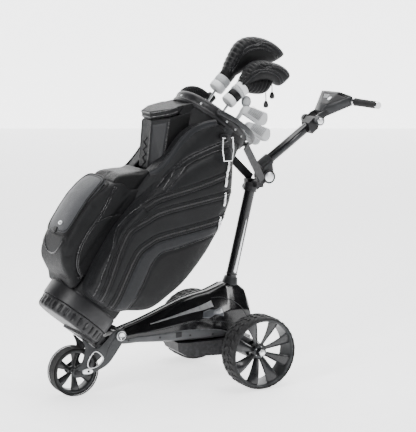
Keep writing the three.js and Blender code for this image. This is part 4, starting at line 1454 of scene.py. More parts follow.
def cooler_panel(name, corners, way, material, thick):
    """A quilted panel laid on a flat face of the cooler, between four corners in (u, y, w); the dark ones on its sides
    are painted shade.
    """
    points, normals = pressed(skin, [bag(*p) for p in between(corners, PANEL_CELLS)], way, 60)
    face = Vector(np.mean([tuple(n) for n in normals], 0)).normalized()
    top = []
    for k, p in enumerate(points):
        on_border = {*divmod(k, PANEL_CELLS)} & {0, PANEL_CELLS - 1}
        rise = -1.5 if on_border else thick
        top.append(p + face * rise * MM)
    under = [p - face * 5 * MM for p in points]
    return slab(name, top, under, PANEL_CELLS, PANEL_CELLS, material)


for sign, side_name in ((-1, "left"), (1, "right")):
    # The deep leather panels on the cooler's flat sides are painted shade: dark sheets where those faces lie in shade.
    y = sign * (HALF + 20)
    shape = ((-94, y, 652), (-176, y, 788), (-112, y, 882), (-82, y, 690))
    keep(
        cooler_panel(f"cooler_inset_{side_name}", shape, bag_way(0, -sign, 0), DEEP_LEATHER, 1.4), "root",
        "leather"
    )
    slant = ((-115, sign * 39, 622), (-94, sign * 77, 652), (-172, sign * 77, 784), (-200, sign * 39, 746))
    keep(
        cooler_panel(f"cooler_facet_{side_name}", slant, bag_way(0.5, -sign * 0.8, 0), BAND_LEATHER, 1.2),
        "root", "leather"
    )

# Raised ribs in a generic pattern down the cooler's narrow front.
ribs = []
for k in range(7):
    t = 0.2 + 0.105 * k
    u, w = -130 - 77 * t, 640 + 111 * t
    line = [bag(u, y, w + 5 * (1 if k % 2 else -1) * y / 14) for y in np.linspace(-13, 13, 14)]
    points, normals = pressed(
        skin, [p - bag_way(1, 0, 0) * 30 * MM for p in line], bag_way(0.75, 0, -0.5), 40
    )
    ribs.append(swept(points, ring(2.6), normals))
put("cooler_ribs", ribs, BLACK_LEATHER, "root", "leather")

hood_points = [
    bag(u, s * (HALF - 2), w) for s in (-1, 1) for u,
    w in ((-156, 829), (-156, 866), (-124, 903), (-92, 893), (-110, 840))
]
hood = merged("cooler_hood", [facets(hood_points)], BLACK_LEATHER)
remeshed(hood, 3.0)
keep(hood, "root", "leather")
lid_points = [bag(u, s * FACE, w) for s in (-1, 1) for u, w in ((-210.5, 757), (-232, 774))]
lid_points += [
    bag(u, s * HALF, w) for s in (-1, 1) for u, w in ((-178.5, 798.5), (-200, 815), (-158, 825), (-158, 867))
]
cooler_lid = merged("cooler_lid_pad", [facets(lid_points)], BLACK_LEATHER)
softened(cooler_lid, 3)
keep(cooler_lid, "cool_lid", "leather", "cooler_lid")
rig.padded(cooler_lid, fill=0.8)
skin = tree_of(cooler_lid)
cords = []
for low, out in ((5, 1.2), (20, 1.2)):
    loop = []
    for u, y, w in (
        (-160, -HALF, 828), (-180, -HALF, 802), (-196, -58, 780), (-211, -FACE, 760), (-211, 0, 760),
        (-211, FACE, 760), (-196, 58, 780), (-180, HALF, 802), (-160, HALF, 828)
    ):
        loop.append((u - low * 0.787, y, w + low * 0.618))
    path = spline(loop, 80, False, 0.3)
    points, normals = [], []
    for u, y, w in path:
        at = bag(u, y, w)
        found = skin.find_nearest(at)
        points.append(found[0])
        normals.append(found[1])
    cords.append(swept(points, ring(2.6), normals))
put("cooler_lid_piping", cords, PIPING, "cool_lid", "leather")

# The padded edging that runs from the rim round the cooler's foot.
EDGING = [(-50, 878), (-78, 842), (-96, 800), (-104, 750), (-104, 700), (-104, 655), (-112, 615), (-124, 590)]
edging = spline(EDGING, 80)
for sign, side_name in ((-1, "left"), (1, "right")):
    path = []
    for u, w in edging:
        radius = shell_radius(w) + 17
        path.append(bag(u, sign * math.sqrt(radius**2 - u**2), w))
    out = [p - bag(0, 0, w) for p, (u, w) in zip(path, edging)]
    swell = [0.6 + 0.4 * math.sin(math.pi * min(1, max(0, i / 79))) ** 0.4 for i in range(80)]
    body = [(-12, -9), (12, -9), (12.5, 1), (9, 5), (3, 6.6), (-3, 6.6), (-9, 5), (-12.5, 1)]
    pads = merged(f"edging_{side_name}", [swept(path, body, out, size=swell)], BAND_LEATHER)
    subdivided(pads)
    applied(pads)
    keep(pads, "root", "grey_leather")
    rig.padded(pads, fill=0.8)
    put(
        f"edging_cords_{side_name}",
        [
            swept(
                [
                    p + Vector(a) * 12.5 * g * MM * k for p, a,
                    g in zip(path, frames_along(path, out)[0], swell)
                ],
                ring(1.9), out
            )
            for k in (-1, 1)
        ],
        PIPING, "root", "leather"
    )


# ---- clubs ----
def neck_ring(name, start, end, radius, material, swell):
    """A padded band around a cover's neck, between two points of the bag's frame."""
    low, high = bag(*start), bag(*end)
    length = (high - low).length / MM
    profile = [
        (radius * 0.6, 0.5), (radius - 1.5, 0), (radius + swell * 0.7, 2.5), (radius + swell, length / 2)
    ]
    profile += [(radius + swell * 0.7, length - 2.5), (radius - 1.5, length), (radius * 0.6, length - 0.5)]
    return merged(name, [lathe(profile, low, high - low, 44)], material)


def cover_body(name, outer, inner, middle_y, half, neck_half, sections=34, sides=32):
    """A head cover between its outer and inner edge lines in (u, w), and its section frames."""
    far, near = spline(outer, sections), spline(inner, sections)
    rows, stations = [], []
    for i, (a, b) in enumerate(zip(far, near)):
        t = i / (sections - 1)
        wide = neck_half + (half - neck_half) * min(1, t / 0.35) ** 0.7
        wide *= (1 - max(0, t - 0.72) ** 2 / 0.12) ** 0.5 if t > 0.72 else 1
        wide = max(wide, 7)
        centre, reach = (a + b) / 2, np.linalg.norm(a - b) / 2
        way = (a - b) / (2 * reach)
        stations.append((centre, way, reach))
        line = []
        for k in range(sides):
            c, s = squared(k, sides, 2.4)
            line.append(
                bag(centre[0] + way[0] * (c * reach), middle_y + s * wide, centre[1] + way[1] * (c * reach))
            )
        rows.append(line)
    cover = merged(name, [loft(rows)], COVER_LEATHER)
    cover.data.materials.append(DEEP_LEATHER)
    return cover, stations


COVERS = {
    "driver": {
        "y": 44, "half": 43, "neck_half": 28,
        "outer": [
            (-50, 1092), (-60, 1116), (-66, 1147), (-71, 1180), (-71, 1208), (-60, 1237), (-38, 1262),
            (-4, 1284), (37, 1299), (79, 1303), (106, 1297)
        ],
        "inner": [
            (2, 1108), (11, 1127), (24, 1150), (40, 1176), (58, 1200), (77, 1222), (93, 1242), (103, 1260),
            (108, 1276), (110, 1289)
        ],
        "seams": [
            [
                (-41, 1100), (-46, 1138), (-50, 1171), (-44, 1204), (-29, 1231), (-4, 1255), (30, 1268),
                (65, 1267), (90, 1261)
            ],
            [
                (-31, 1102), (-37, 1141), (-41, 1171), (-33, 1200), (-18, 1222), (4, 1243), (33, 1256),
                (60, 1258), (92, 1254)
            ],
            [(-21, 1240), (-14, 1252), (1, 1268), (33, 1282), (65, 1286), (98, 1282)],
        ],
        "chevron": [
            [(-54, 1230), (-20, 1236), (-2, 1262), (-14, 1272)], [(-44, 1246), (-26, 1248), (-14, 1266)]
        ],
        "ribs": 9,
    },
    "fairway": {
        "y": -50, "half": 40, "neck_half": 24,
        "outer": [
            (-16, 1072), (-21, 1099), (-25, 1131), (-23, 1156), (-10, 1178), (12, 1197), (41, 1211),
            (64, 1223), (92, 1230), (116, 1229), (130, 1222)
        ],
        "inner": [
            (14, 1078), (28, 1100), (40, 1119), (57, 1138), (78, 1152), (96, 1158), (112, 1160), (124, 1164),
            (130, 1180), (133, 1196), (134, 1210)
        ],
        "seams": [
            [
                (-16, 1074), (-16, 1098), (-8, 1130), (6, 1152), (32, 1173), (62, 1188), (93, 1188),
                (116, 1180)
            ],
            [(-4, 1076), (-3, 1103), (4, 1130), (18, 1152), (44, 1170), (71, 1178), (99, 1176), (114, 1170)],
            [(19, 1176), (43, 1194), (76, 1208), (114, 1208)],
        ],
        "chevron": [[(-10, 1164), (19, 1170), (40, 1190), (28, 1200)], [(-2, 1176), (14, 1180), (28, 1194)]],
        "ribs": 8,
    },
}
for club, shape in COVERS.items():
    y = shape["y"]
    cover, stations = cover_body(
        f"{club}_cover_skin", shape["outer"], shape["inner"], y, shape["half"], shape["neck_half"]
    )
    inflated(cover, 3.2, 3.0, 2.5)
    skin = tree_of(cover)

    def on_flank(line, sign, count=60, lift=0.0):
        """Points on one flank of the cover under a line in (u, w)."""
        path = [bag(u, y + sign * 90, w) for u, w in spline(line, count)]
        points, normals = [], []
        for at in path:
            hit, normal, _, _ = skin.ray_cast(at, Vector((0, -sign, 0)))
            if hit is None:
                hit, normal, _, _ = skin.find_nearest(at - Vector((0, sign * 75, 0)) * MM)
            points.append(hit + normal * lift * MM)
            normals.append(normal)
        return points, normals

    channels, cords = [], []
    for sign in (-1, 1):
        for line in shape["seams"] + shape["chevron"]:
            points, normals = on_flank(line, sign)
            channels.append(points)
            cords.append(swept(points, ring(1.5), normals))
    for k in range(shape["ribs"]):
        centre, way, reach = stations[2 + k * 2]
        hoop = []
        for turn in np.linspace(-1.15, 1.15, 40):
            out = bag_way(way[0], 0, way[1]) * math.cos(turn) + Y_AXIS * math.sin(turn)
            hit = skin.ray_cast(bag(centre[0], y, centre[1]) + out * 120 * MM, -out)
            if hit[0]:
                hoop.append(hit[0])
        channels.append(hoop)
    grooved(cover, channels, 2.6, 2.4)
    sole_line = spline(shape["seams"][1], 80)
    nose = np.array(shape["inner"][5])
    for face in cover.data.polygons:
        u, _, w = local(face.center)
        near = sole_line[np.argmin(np.hypot(sole_line[:, 0] - u, sole_line[:, 1] - w))]
        if np.hypot(*(nose - (u, w))) < np.hypot(*(nose - near)) - 1:
            face.material_index = 1
    keep(cover, club, "cover", f"{club}_cover")
    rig.padded(cover, fill=0.8)
    put(f"{club}_cover_piping", cords, PIPING, club, "cover")
    stitches = []
    for line in shape["seams"][:2]:
        shifted = [(u + 3.2, w - 2.6) for u, w in line]
        points, normals = on_flank(shifted, -1, 200, 0.2)
        for k in range(0, 196, 6):
            stitches.append(swept(points[k:k + 4], ring(0.45, 6), normals[k:k + 4]))
    put(f"{club}_cover_stitches", stitches, GREY_LEATHER, club, "cover")

# Bands round the necks: club and band, (u, w) of the lower and upper end, radius, material and swell.
NECK_BANDS = [
    ("driver", "neck", (-26, 1077), (-24, 1112), 27, DEEP_LEATHER, 1.2),
    ("driver", "grey_collar", (-28, 1048), (-26, 1076), 27.5, PALE_LEATHER, 2.0),
    ("driver", "white_collar", (-30, 1020.5), (-28, 1047), 27.5, WHITE_LEATHER, 2.0),
    ("fairway", "white_collar", (4, 1050), (12, 1072), 27, WHITE_LEATHER, 1.6),
    ("fairway", "grey_stripe", (1, 1036), (4, 1049.4), 27.4, PALE_LEATHER, 1.4),
    ("fairway", "dark_collar", (-3, 1012), (1, 1035), 25, DEEP_LEATHER, 1.2),
    ("fairway", "low_collar", (-8, 986), (-3, 1011), 25, WHITE_LEATHER, 2.0),
]
for club, label, low_end, high_end, radius, material, swell in NECK_BANDS:
    y = COVERS[club]["y"]
    ends = [(u, y, w) for u, w in (low_end, high_end)]
    keep(neck_ring(f"{club}_{label}", *ends, radius, material, swell), club, "cover")

# The gathered sleeve that hangs under the fairway cover.
gather_high = [(-12, 1092), (16, 1116), (44, 1146), (70, 1162), (97, 1164)]
gather_low = [(-12, 1062), (26, 1064), (54, 1074), (82, 1094), (99, 1116)]
rows = []
for i, (a, b) in enumerate(zip(spline(gather_high, 44), spline(gather_low, 44))):
    t = i / 43
    fold = 1 + 0.07 * math.sin(TAU * 9 * t) + 0.04 * math.sin(TAU * 17 * t + 1)
    wide = (25 + 8 * math.sin(math.pi * t)) * fold * (
        1 if t < 0.8 else math.sqrt(max(0.12, 1 - ((t - 0.8) / 0.2) ** 2))
    )
    centre, reach = (a + b) / 2, (a - b) / 2
    line = []
    for k in range(28):
        c, s = math.cos(TAU * k / 28), math.sin(TAU * k / 28)
        line.append(
            bag(centre[0] + reach[0] * c, -50 + wide * s, centre[1] + reach[1] * c * (1 + 0.05 * (fold - 1)))
        )
    rows.append(line)
gathered = merged("fairway_gathered_sleeve", [loft(rows)], DEEP_LEATHER)
subdivided(gathered)
applied(gathered)
keep(gathered, "fairway", "cover")
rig.padded(gathered, fill=0.6)

# A rolled cuff beside the fairway's neck.
rows = []
for t in np.linspace(0, 1, 15):
    size = math.sin(math.pi * (0.08 + 0.84 * t)) ** 0.6
    rows.append(
        [
            bag(34 + 38 * t, -52 + 15 * size * math.sin(a), 1040 - 5 * t + 21 * size * math.cos(a))
            for a in np.linspace(0, TAU, 28, endpoint=False)
        ]
    )
cuff = merged("fairway_rolled_cuff", [loft(rows)], PALE_LEATHER)
subdivided(cuff)
applied(cuff)
keep(cuff, "fairway", "cover")
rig.padded(cuff, fill=0.8)

# Drawstring ends with their toggles.
for name, start, drop in (("high", (104, -38, 1160), 34), ("low", (94, -60, 1110), 31)):
    top = bag(*start)
    path = [top + Vector((math.sin(t * 2) * 1.5, 0, -drop * t)) * MM for t in np.linspace(0, 1, 18)]
    toggle = merged(
        f"drawstring_toggle_{name}",
        [
            lathe(
                [(1.5, 0), (5, 3), (8, 9), (9.5, 17), (8.5, 24), (3, 27)], path[-1] + Vector((0, 0, 3 * MM)),
                (0, 0, -1), 24
            )
        ],
        SATIN_BLACK
    )
    keep(toggle, "fairway", "cover")
    string = merged(f"drawstring_{name}", [swept(path, ring(1.8))], WEBBING)
    keep(string, "fairway", "cover")
    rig.cord(
        string, exit=path[0], length=drop * MM, diameter=0.0036, far_end="fitting", stiffness="limp",
        lay="hanging", path=path, with_pieces=[toggle]
    )

# Putter cover: a quilted pad leaning out over the rim, a black neck and a white cup.
PUTTER_Y = 103
putter_outline = spline(
    [
        (-114, 944), (-108, 966), (-90, 986), (-66, 1000), (-42, 1006), (-16, 1008), (6, 1004), (12, 990),
        (0, 978), (-22, 970), (-55, 954), (-87, 942)
    ], 80, True
)
middle = np.mean(putter_outline, 0)
rows = []
for depth, share in (
    (-12.5, 0.45), (-12, 0.74), (-10, 0.9), (-5, 1.0), (5, 1.0), (10, 0.9), (12, 0.74), (12.5, 0.45)
):
    rows.append(
        [bag(q[0], PUTTER_Y + depth, q[1]) for q in (middle + (p - middle) * share for p in putter_outline)]
    )
putter = merged("putter_cover_skin", [loft(rows)], COVER_LEATHER)
inflated(putter, 2.6, 3.0, 3.0)
skin = tree_of(putter)
quilt = []
for k in range(-9, 10):
    for lean in (1, -1):
        for sign in (-1, 1):
            line = []
            for t in np.linspace(-60, 60, 60):
                u, w = middle[0] + k * 13 + t * 0.7, middle[1] + t * lean * 0.7
                hit = skin.ray_cast(bag(u, PUTTER_Y + sign * 60, w), Vector((0, -sign, 0)))
                if hit[0]:
                    line.append(hit[0])
            if len(line) > 3:
                quilt.append(line)
grooved(putter, quilt, 1.6, 1.3)
keep(putter, "putter", "cover", "putter_cover")
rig.padded(putter, fill=0.8)
keep(
    neck_ring("putter_neck", (-4, PUTTER_Y, 976), (4, PUTTER_Y, 1014), 17, DEEP_LEATHER, 2.0), "putter",
    "cover"
)
keep(
    neck_ring("putter_white_cup", (-10, PUTTER_Y - 3, 951), (-6, PUTTER_Y - 3, 980), 16, WHITE_LEATHER, 2.4),
    "putter", "cover"
)

# Irons: a blade with a back cavity and a rounded sole, face lines, a ferrule, a shaft and a grip.
IRONS = {
    "iron_1": ("iron_a", (56, -66, 60.8), (56, -66, 992)),
    "iron_2": ("iron_b", (50, -26, 60.8), (126, -26, 966)),
    "iron_3": ("iron_c", (50, 18, 60.8), (126, 18, 944)),
}
BLADE = [
    (-8, 6), (-6, -3), (6, -4), (40, 1), (78, 6), (97, 13), (106, 27), (104, 42), (92, 58), (80, 60),
    (40, 46), (8, 34), (-4, 27), (-8, 18)
]
BLADE_LAYERS = [
    (-8, 0.70), (-10, 0.84), (-11, 0.95), (-9, 1.0), (0, 1.0), (7, 1.0), (10.5, 0.95), (10.5, 0.82),
    (5.5, 0.76), (5, 0.4)
]
for node, (body, foot, heel) in IRONS.items():
    loop = spline(BLADE, 64, True)
    middle = np.mean(loop, 0)
    rows = []
    for depth, share in BLADE_LAYERS:
        rows.append(
            [
                bag(heel[0] + q[0], heel[1] + depth * (1 - 0.5 * (q[1] + 7) / 67), heel[2] + q[1])
                for q in (middle + (p - middle) * share for p in loop)
            ]
        )
    start, end = bag(*foot), bag(heel[0], heel[1], heel[2] + 16)
    length = (end - start).length / MM
    hosel = [
        (5, length - 58), (7, length - 56), (7.6, length - 30), (8.4, length - 12), (8, length - 2),
        (4, length + 3)
    ]
    put(
        f"{node}_head", [loft(rows), lathe(hosel, start, end - start, 32)], IRON_STEEL, body, "chrome", node,
        edge=40
    )
    lines = []
    for k in range(7):
        rise = 10 + 5 * k
        depth = 11.2 * (1 - 0.5 * (rise + 7) / 67)
        line = [bag(heel[0] + a, heel[1] - depth, heel[2] + rise + 0.13 * a) for a in np.linspace(16, 74, 8)]
        lines.append(swept(line, [(-0.6, -0.6), (0.6, -0.6), (0.6, 0.5), (-0.6, 0.5)], [-Y_AXIS] * 8))
    put(f"{node}_face_lines", lines, SATIN_BLACK, body, "chrome")
    put(
        f"{node}_shaft_steel",
        [lathe([(3, 258), (5, 260), (4.6, length - 62), (3, length - 60)], start, end - start, 32)], STEEL,
        body, "steel"
    )
    grip = [(6, 0), (12.4, 0.6), (13, 4)]
    grip += [(13 - 4 * i / 39 - (0.5 if i % 3 == 0 else 0), 8 + 252 * i / 39) for i in range(40)]
    grip += [(8.4, 263), (4, 264)]
    put(f"{node}_grip", [lathe(grip, start, end - start, 32)], TYRE, body, "tyre")
    put(
        f"{node}_ferrule",
        [
            lathe(
                [
                    (4, length - 78), (5.4, length - 76), (6.8, length - 60), (7.1, length - 57),
                    (5, length - 55)
                ],
                start, end - start, 28
            )
        ],
        GLOSS_BLACK, body, "gloss_black"
    )


# ---- wheels ----
SHIFT = 100.0
SIDES = (("left", -1), ("right", 1))


def at(x, y, z):
    """A point laid out from the rear axle, in metres in the row frame."""
    return row(x + SHIFT, y, z)


def wheel_point(centre, radius, turn, y):
    return centre + Vector((radius * math.cos(turn), y, radius * math.sin(turn))) * MM


def tyre_skin(name, centre, radius, width, bore, lugs, tread):
    """A tyre with rows of raised lugs: tread is how far they stand up."""
    half = width / 2
    deep = radius - tread
    profile = [
        (bore, -half + 4), (bore + 3, -half + 1), (
            deep - 8, -half + 0.4
        ), (deep - 4, -half + 3), (deep - 1, -half + 8), (deep, -half + 15),
        (deep, half - 15), (deep - 1, half - 8), (deep - 4, half - 3), (
            deep - 8, half - 0.4
        ), (bore + 3, half - 1), (bore, half - 4),
    ]
    parts = [lathe(profile, centre, (0, 1, 0), 128, True)]
    if lugs:
        step = TAU / lugs
        rows = [(-0.30, 0.30, 0.34, 0.0), (-0.92, -0.40, -0.5, 0.5), (0.40, 0.92, 0.5, 0.5)]
        for low, high, slant, offset in rows:
            for k in range(lugs):
                spans = np.linspace(low, high, 7)
                points = []
                for depth in (radius, deep - 3):
                    for s in spans:
                        bend = abs(s) * 0.9
                        drop = max(0, abs(s) - 0.62) * 16
                        shrink = 0.0 if depth < radius else 0.06
                        for edge in (-1, 1):
                            turn = (k + offset + bend + edge * (0.30 - shrink)) * step
                            points.append(wheel_point(centre, depth - drop, turn, s * half))
                n = len(spans)
                faces = []
                for i in range(n - 1):
                    a, b = 2 * i, 2 * i + 2
                    faces += [
                        (a, b, b + 1, a + 1), (a, a + 2 * n, b + 2 * n, b),
                        (a + 1, b + 1, b + 1 + 2 * n, a + 1 + 2 * n)
                    ]
                faces += [(0, 1, 2 * n + 1, 2 * n), (2 * n - 2, 4 * n - 2, 4 * n - 1, 2 * n - 1)]
                parts.append((points, faces))
    else:
        for y in (-0.5, -0.2, 0.2, 0.5):
            groove = [
                (radius - tread - 0.6, y * width * 0.8 - 2), (radius, y * width * 0.8 - 4.5),
                (radius, y * width * 0.8 + 4.5), (radius - tread - 0.6, y * width * 0.8 + 2)
            ]
            parts.append(lathe(groove, centre, (0, 1, 0), 128, True))
    return shaded(merged(name, parts, TYRE), 38)


def barrel(name, centre, radius, width):
    """The round part of a rim, with a rolled lip on each side."""
    half = width / 2 - 6
    profile = [
        (radius - 7, -half + 2), (radius - 5, -half - 1.5), (radius - 1, -half - 2), (radius, -half + 1),
        (radius, half - 1), (radius - 1, half + 2), (
            radius - 5, half + 1.5
        ), (radius - 7, half - 2), (radius - 9, half - 7), (radius - 8, 0), (radius - 9, -half + 7),
    ]
    return shaded(merged(name, [lathe(profile, centre, (0, 1, 0), 128, True)], WHEEL_GREY), 40)


def paddles(centre, hub, radius, blades, out, wide, depth, sink):
    """Twisted paddle blades from the hub to the barrel: out is the wheel's outer side."""
    parts, edges = [], []
    for k in range(blades):
        turn = TAU * (k + 0.5) / blades
        rows, lead, tail = [], [], []
        for i in range(17):
            t = i / 16
            r = hub * 0.8 + (radius - hub * 0.8) * t
            half = wide * (0.46 + 0.75 * t**1.2)
            twist = math.radians(34 - 26 * t) * out
            y = out * (depth * math.sin(t * math.pi / 2) + sink)
            thick = 3.4 - 0.9 * t
            line = []
            for j in range(16):
                c, s = squared(j, 16, 2.5)
                across = c * half
                through = s * thick + 2.0 * out * (1 - (across / half) ** 2)
                a = across * math.cos(twist) - through * math.sin(twist)
                b = across * math.sin(twist) + through * math.cos(twist)
                line.append(
                    centre + Vector(
                        (
                            r * math.cos(turn) - a * math.sin(turn), y + b,
                            r * math.sin(turn) + a * math.cos(turn)
                        )
                    ) * MM
                )
            rows.append(line)
            lead.append(line[0])
            tail.append(line[8])
        parts.append(loft(rows))
        edges += [swept(lead[1:16], ring(1.3, 6)), swept(tail[1:16], ring(1.3, 6))]
    return parts, edges


def wheel(
    side, body, centre, out, prefix, radius, width, bore, rim_radius, hub, blades, lugs, blade_wide, depth,
    sink
):
    """One wheel's tyre, rim, blades, hub and bolts; out is its outer side."""
    tread = 3.2 if lugs else 1.2
    keep(
        tyre_skin(f"{prefix}_tyre_skin", centre, radius, width, bore, lugs, tread), body, "tyre",
        f"{prefix}_tyre" if side == "front" else f"drive_tyre_{side}"
    )
    node = "front_rim" if side == "front" else f"drive_rim_{side}"
    keep(barrel(f"{prefix}_barrel", centre, rim_radius, width), body, "rim_black", node)
    solid_blades, edges = paddles(centre, hub, rim_radius - 6, blades, out, blade_wide, depth, sink)
    half = width / 2 - 6
    face = sink + 0.14 * half
    back = [
        (10, -0.5 * half), (hub - 4, -0.5 * half), (hub, -0.4 * half), (hub, face - 4), (hub * 0.86, face),
        (hub * 0.44, face + 1), (hub * 0.40, 0.60 * half), (10, 0.62 * half)
    ]
    core = lathe([(r, out * a) for r, a in back], centre, (0, 1, 0), 64, True)
    put(f"{prefix}_blades", [*solid_blades, core], WHEEL_BLACK, body, "rim_black", edge=40)
    lip = [wheel_point(centre, rim_radius - 4.2, TAU * i / 128, out * (half + 1.4)) for i in range(128)]
    edges.append(swept(lip, ring(1.1, 6), closed=True))
    put(f"{prefix}_edge_lines", edges, CAST_GREY, body, "rim_black")
    ring_face = [
        (hub * 0.46, face), (hub * 0.46, face + 2.6), (hub * 0.52, face + 3.4), (hub * 0.74, face + 3.2),
        (hub * 0.84, face + 1.2), (hub * 0.84, face - 1)
    ]
    put(
        f"{prefix}_hub_ring", [lathe([(r, out * a) for r, a in ring_face], centre, (0, 1, 0), 64, True)],
        WHEEL_GREY, body, "rim_black"
    )
    bolts = []
    for k in range(5):
        bolt = wheel_point(centre, hub * 0.64, TAU * k / 5, out * (face + 2.6))
        bolts.append(
            lathe(
                [(0.6, 0), (hub * 0.075, 0), (hub * 0.075, 2.2), (hub * 0.05, 3), (0.6, 3)], bolt,
                (0, out, 0), 16
            )
        )
    put(f"{prefix}_hub_bolts", bolts, STEEL, body, "steel")


DRIVE_WHEEL = {
    "radius": 135, "width": 93, "bore": 124.5, "rim_radius": 124, "hub": 30, "blades": 8, "lugs": 30,
    "blade_wide": 19, "depth": 26, "sink": 2,
}
FRONT_WHEEL = {
    "radius": 88, "width": 57, "bore": 77.5, "rim_radius": 77, "hub": 16, "blades": 6, "lugs": 0,
    "blade_wide": 13, "depth": 14, "sink": -1,
}
HALF_TRACK = 245.5
FRONT_AXLE = (-625, 88)
FORK_PIVOT = (-455, 204)
for side, sign in SIDES:
    centre = at(0, sign * HALF_TRACK, DRIVE_WHEEL["radius"])
    wheel(side, f"{side}_wheel", centre, sign, f"drive_{side}", **DRIVE_WHEEL)
    cap = at(0, sign * 275, DRIVE_WHEEL["radius"])
    put(
        f"axle_nut_{side}",
        [lathe([(3, -6), (12, -6), (13, -4), (13, 0), (10.5, 2.6), (3, 3)], cap, (0, sign, 0), 6)], SILVER,
        "root", "steel"
    )
wheel("front", "front_wheel", at(FRONT_AXLE[0], 0, FRONT_AXLE[1]), -1, "front", **FRONT_WHEEL)

# ---- front fork ----
FORK_OUTLINE = [
    (-478, 222), (-455, 229), (-434, 218), (-431, 198), (-458, 160), (-502, 107), (-550, 84),
    (-600, 72), (-630, 70),
    (-643, 82), (-640, 98), (-612, 116), (-600, 140), (-594, 177), (-606, 212), (-560, 172),
    (-538, 172), (-505, 200),
]
FORK_WINDOW = [(-556, 158), (-524, 130), (-545, 104), (-578, 100), (-584, 122)]


def round_hole(middle, radius):
    turns = np.linspace(0, TAU, 20, endpoint=False)
    return [(middle[0] + radius * math.cos(a), middle[1] + radius * math.sin(a)) for a in turns]


FORK_HOLES = [FORK_WINDOW, round_hole(FRONT_AXLE, 6.4), round_hole(FORK_PIVOT, 8.4)]
for side, sign in SIDES:
    low, high = sorted((sign * 34, sign * 40))
    blade = plate(f"fork_plate_{side}_skin", FORK_OUTLINE, low, high, CAST_GREY, FORK_HOLES, 1.8, at)
    keep(blade, "fork", "cast_grey", f"fork_plate_{side}")
    rim_path = spline(FORK_WINDOW, 80, True)
    bead = [at(x, sign * 40.2, z) for x, z in rim_path]
    put(
        f"fork_window_bead_{side}", [swept(bead, ring(1.9), [Vector((0, sign, 0))] * 80, closed=True)],
        SILVER, "fork", "steel"
    )
    link = [(-604, 96), (-590, 100), (-574, 96), (-566, 88), (-574, 80), (-592, 80), (-606, 84)]
    keep(
        plate(f"fork_link_{side}", link, *sorted((sign * 40.3, sign * 43.5)), SILVER, (), 1.0, at), "fork",
        "steel"
    )
    screw = at(-584, sign * 43.4, 89)
    put(
        f"fork_screw_{side}",
        [lathe([(1, 0), (4.2, 0), (4.2, 1.6), (3.2, 2.6), (1, 2.8)], screw, (0, sign, 0), 24)], SATIN_BLACK,
        "fork", "satin_black"
    )
    groove = spline([(-468, 206), (-500, 168), (-518, 128), (-560, 95), (-610, 82)], 60)
    put(
        f"fork_edge_line_{side}",
        [swept([at(x, sign * 40.1, z) for x, z in groove], ring(1.1, 6), [Vector((0, sign, 0))] * 60)],
        GREY_MOULDING, "fork", "cast_grey"
    )
    face = at(FORK_PIVOT[0], sign * 49, FORK_PIVOT[1])
    put(
        f"pivot_cap_{side}",
        [
            lathe(
                [(1, 0), (15.5, 0), (16.2, 0.8), (15, 1.8), (12.6, 1.8), (12.2, 1.0), (1, 1.0)], face,
                (0, sign, 0), 48
            )
        ],
        SILVER, "root", "steel"
    )
    put(
        f"pivot_ring_{side}",
        [lathe([(12.6, 0.4), (15, 0.4), (15, 2.4), (12.6, 2.4)], face, (0, sign, 0), 48, True)], SATIN_BLACK,
        "root", "satin_black"
    )
    put(
        f"axle_cap_{side}",
        [
            lathe(
                [(1, -1), (8.4, -1), (8.6, 1), (6, 2.2), (1, 2.4)],
                at(FRONT_AXLE[0], sign * 48, FRONT_AXLE[1]), (0, sign, 0), 32
            )
        ],
        SATIN_BLACK, "fork", "satin_black"
    )


# ---- chassis ----
# Sections of the body: x, half width, low z, high z and half width at the top.
CHASSIS = np.array([
    (-472, 33, 180, 210, 24), (-456, 33, 172, 217, 20), (-440, 33, 167, 223, 17), (
        -410, 33, 165.5, 232, 15
    ), (
        -378, 33, 165, 240, 14.5
    ), (
        -356, 42, 164, 247, 14.5
    ),
    (-300, 50, 160, 266, 14.5), (-245, 55, 156, 286, 14.5), (-190, 58, 152, 305, 14.5), (
        -140, 64, 151, 316, 15.5
    ), (-84, 69, 150.5, 325, 17),
    (-50, 67, 150.5, 336, 19), (
        -11, 62, 150.5, 350, 22
    ), (18, 59, 152, 348, 23), (48, 55, 156, 337, 24), (71, 51, 163, 318, 25), (84, 48, 178, 280, 27), (
        91, 44, 198, 228, 28
    ),
])


def chassis_section(x):
    return [float(np.interp(x, CHASSIS[:, 0], CHASSIS[:, k])) for k in range(1, 5)]


CORNER = 0.16
stations = np.r_[np.linspace(-472, -456, 5), np.linspace(-450, 66, 87), np.linspace(69, 91, 12)]
rows = []
for x in stations:
    half, low, high, top = chassis_section(x)
    mid = (low + high) / 2
    shape = [
        (-half * 0.86, low), (-half, low + (mid - low) * 0.2), (-half, mid - 2), (-half * 0.985, mid + 4),
        (-top - (half - top) * 0.16, high - (high - mid) * 0.14), (-top * 0.8, high - 1.2), (0, high - 3.4)
    ]
    full = shape + [(-a, b) for a, b in reversed(shape[:-1])]
    line = []
    n = len(full)
    for i, (a, b) in enumerate(full):
        before, after = full[i - 1], full[(i + 1) % n]
        for other in (before, after):
            line.append(at(x, a + (other[0] - a) * CORNER, b + (other[1] - b) * CORNER))
    rows.append(line)
body = merged("chassis_skin", [loft(rows)], GLOSS_BLACK)
subdivided(body)
applied(body)
keep(body, "root", "gloss_black", "chassis")
skin = tree_of(body)


def on_side(line, sign, count=70, lift=0.0):
    """Points on the chassis' flank beside a line in (x, z)."""
    path = [at(x, sign * 140, z) for x, z in spline(line, count, False, 0.4)]
    points, normals = pressed(skin, path, (0, -sign, 0), 0)
    normals = [Vector(n) for n in normals]
    return [p + n * lift * MM for p, n in zip(points, normals)], normals


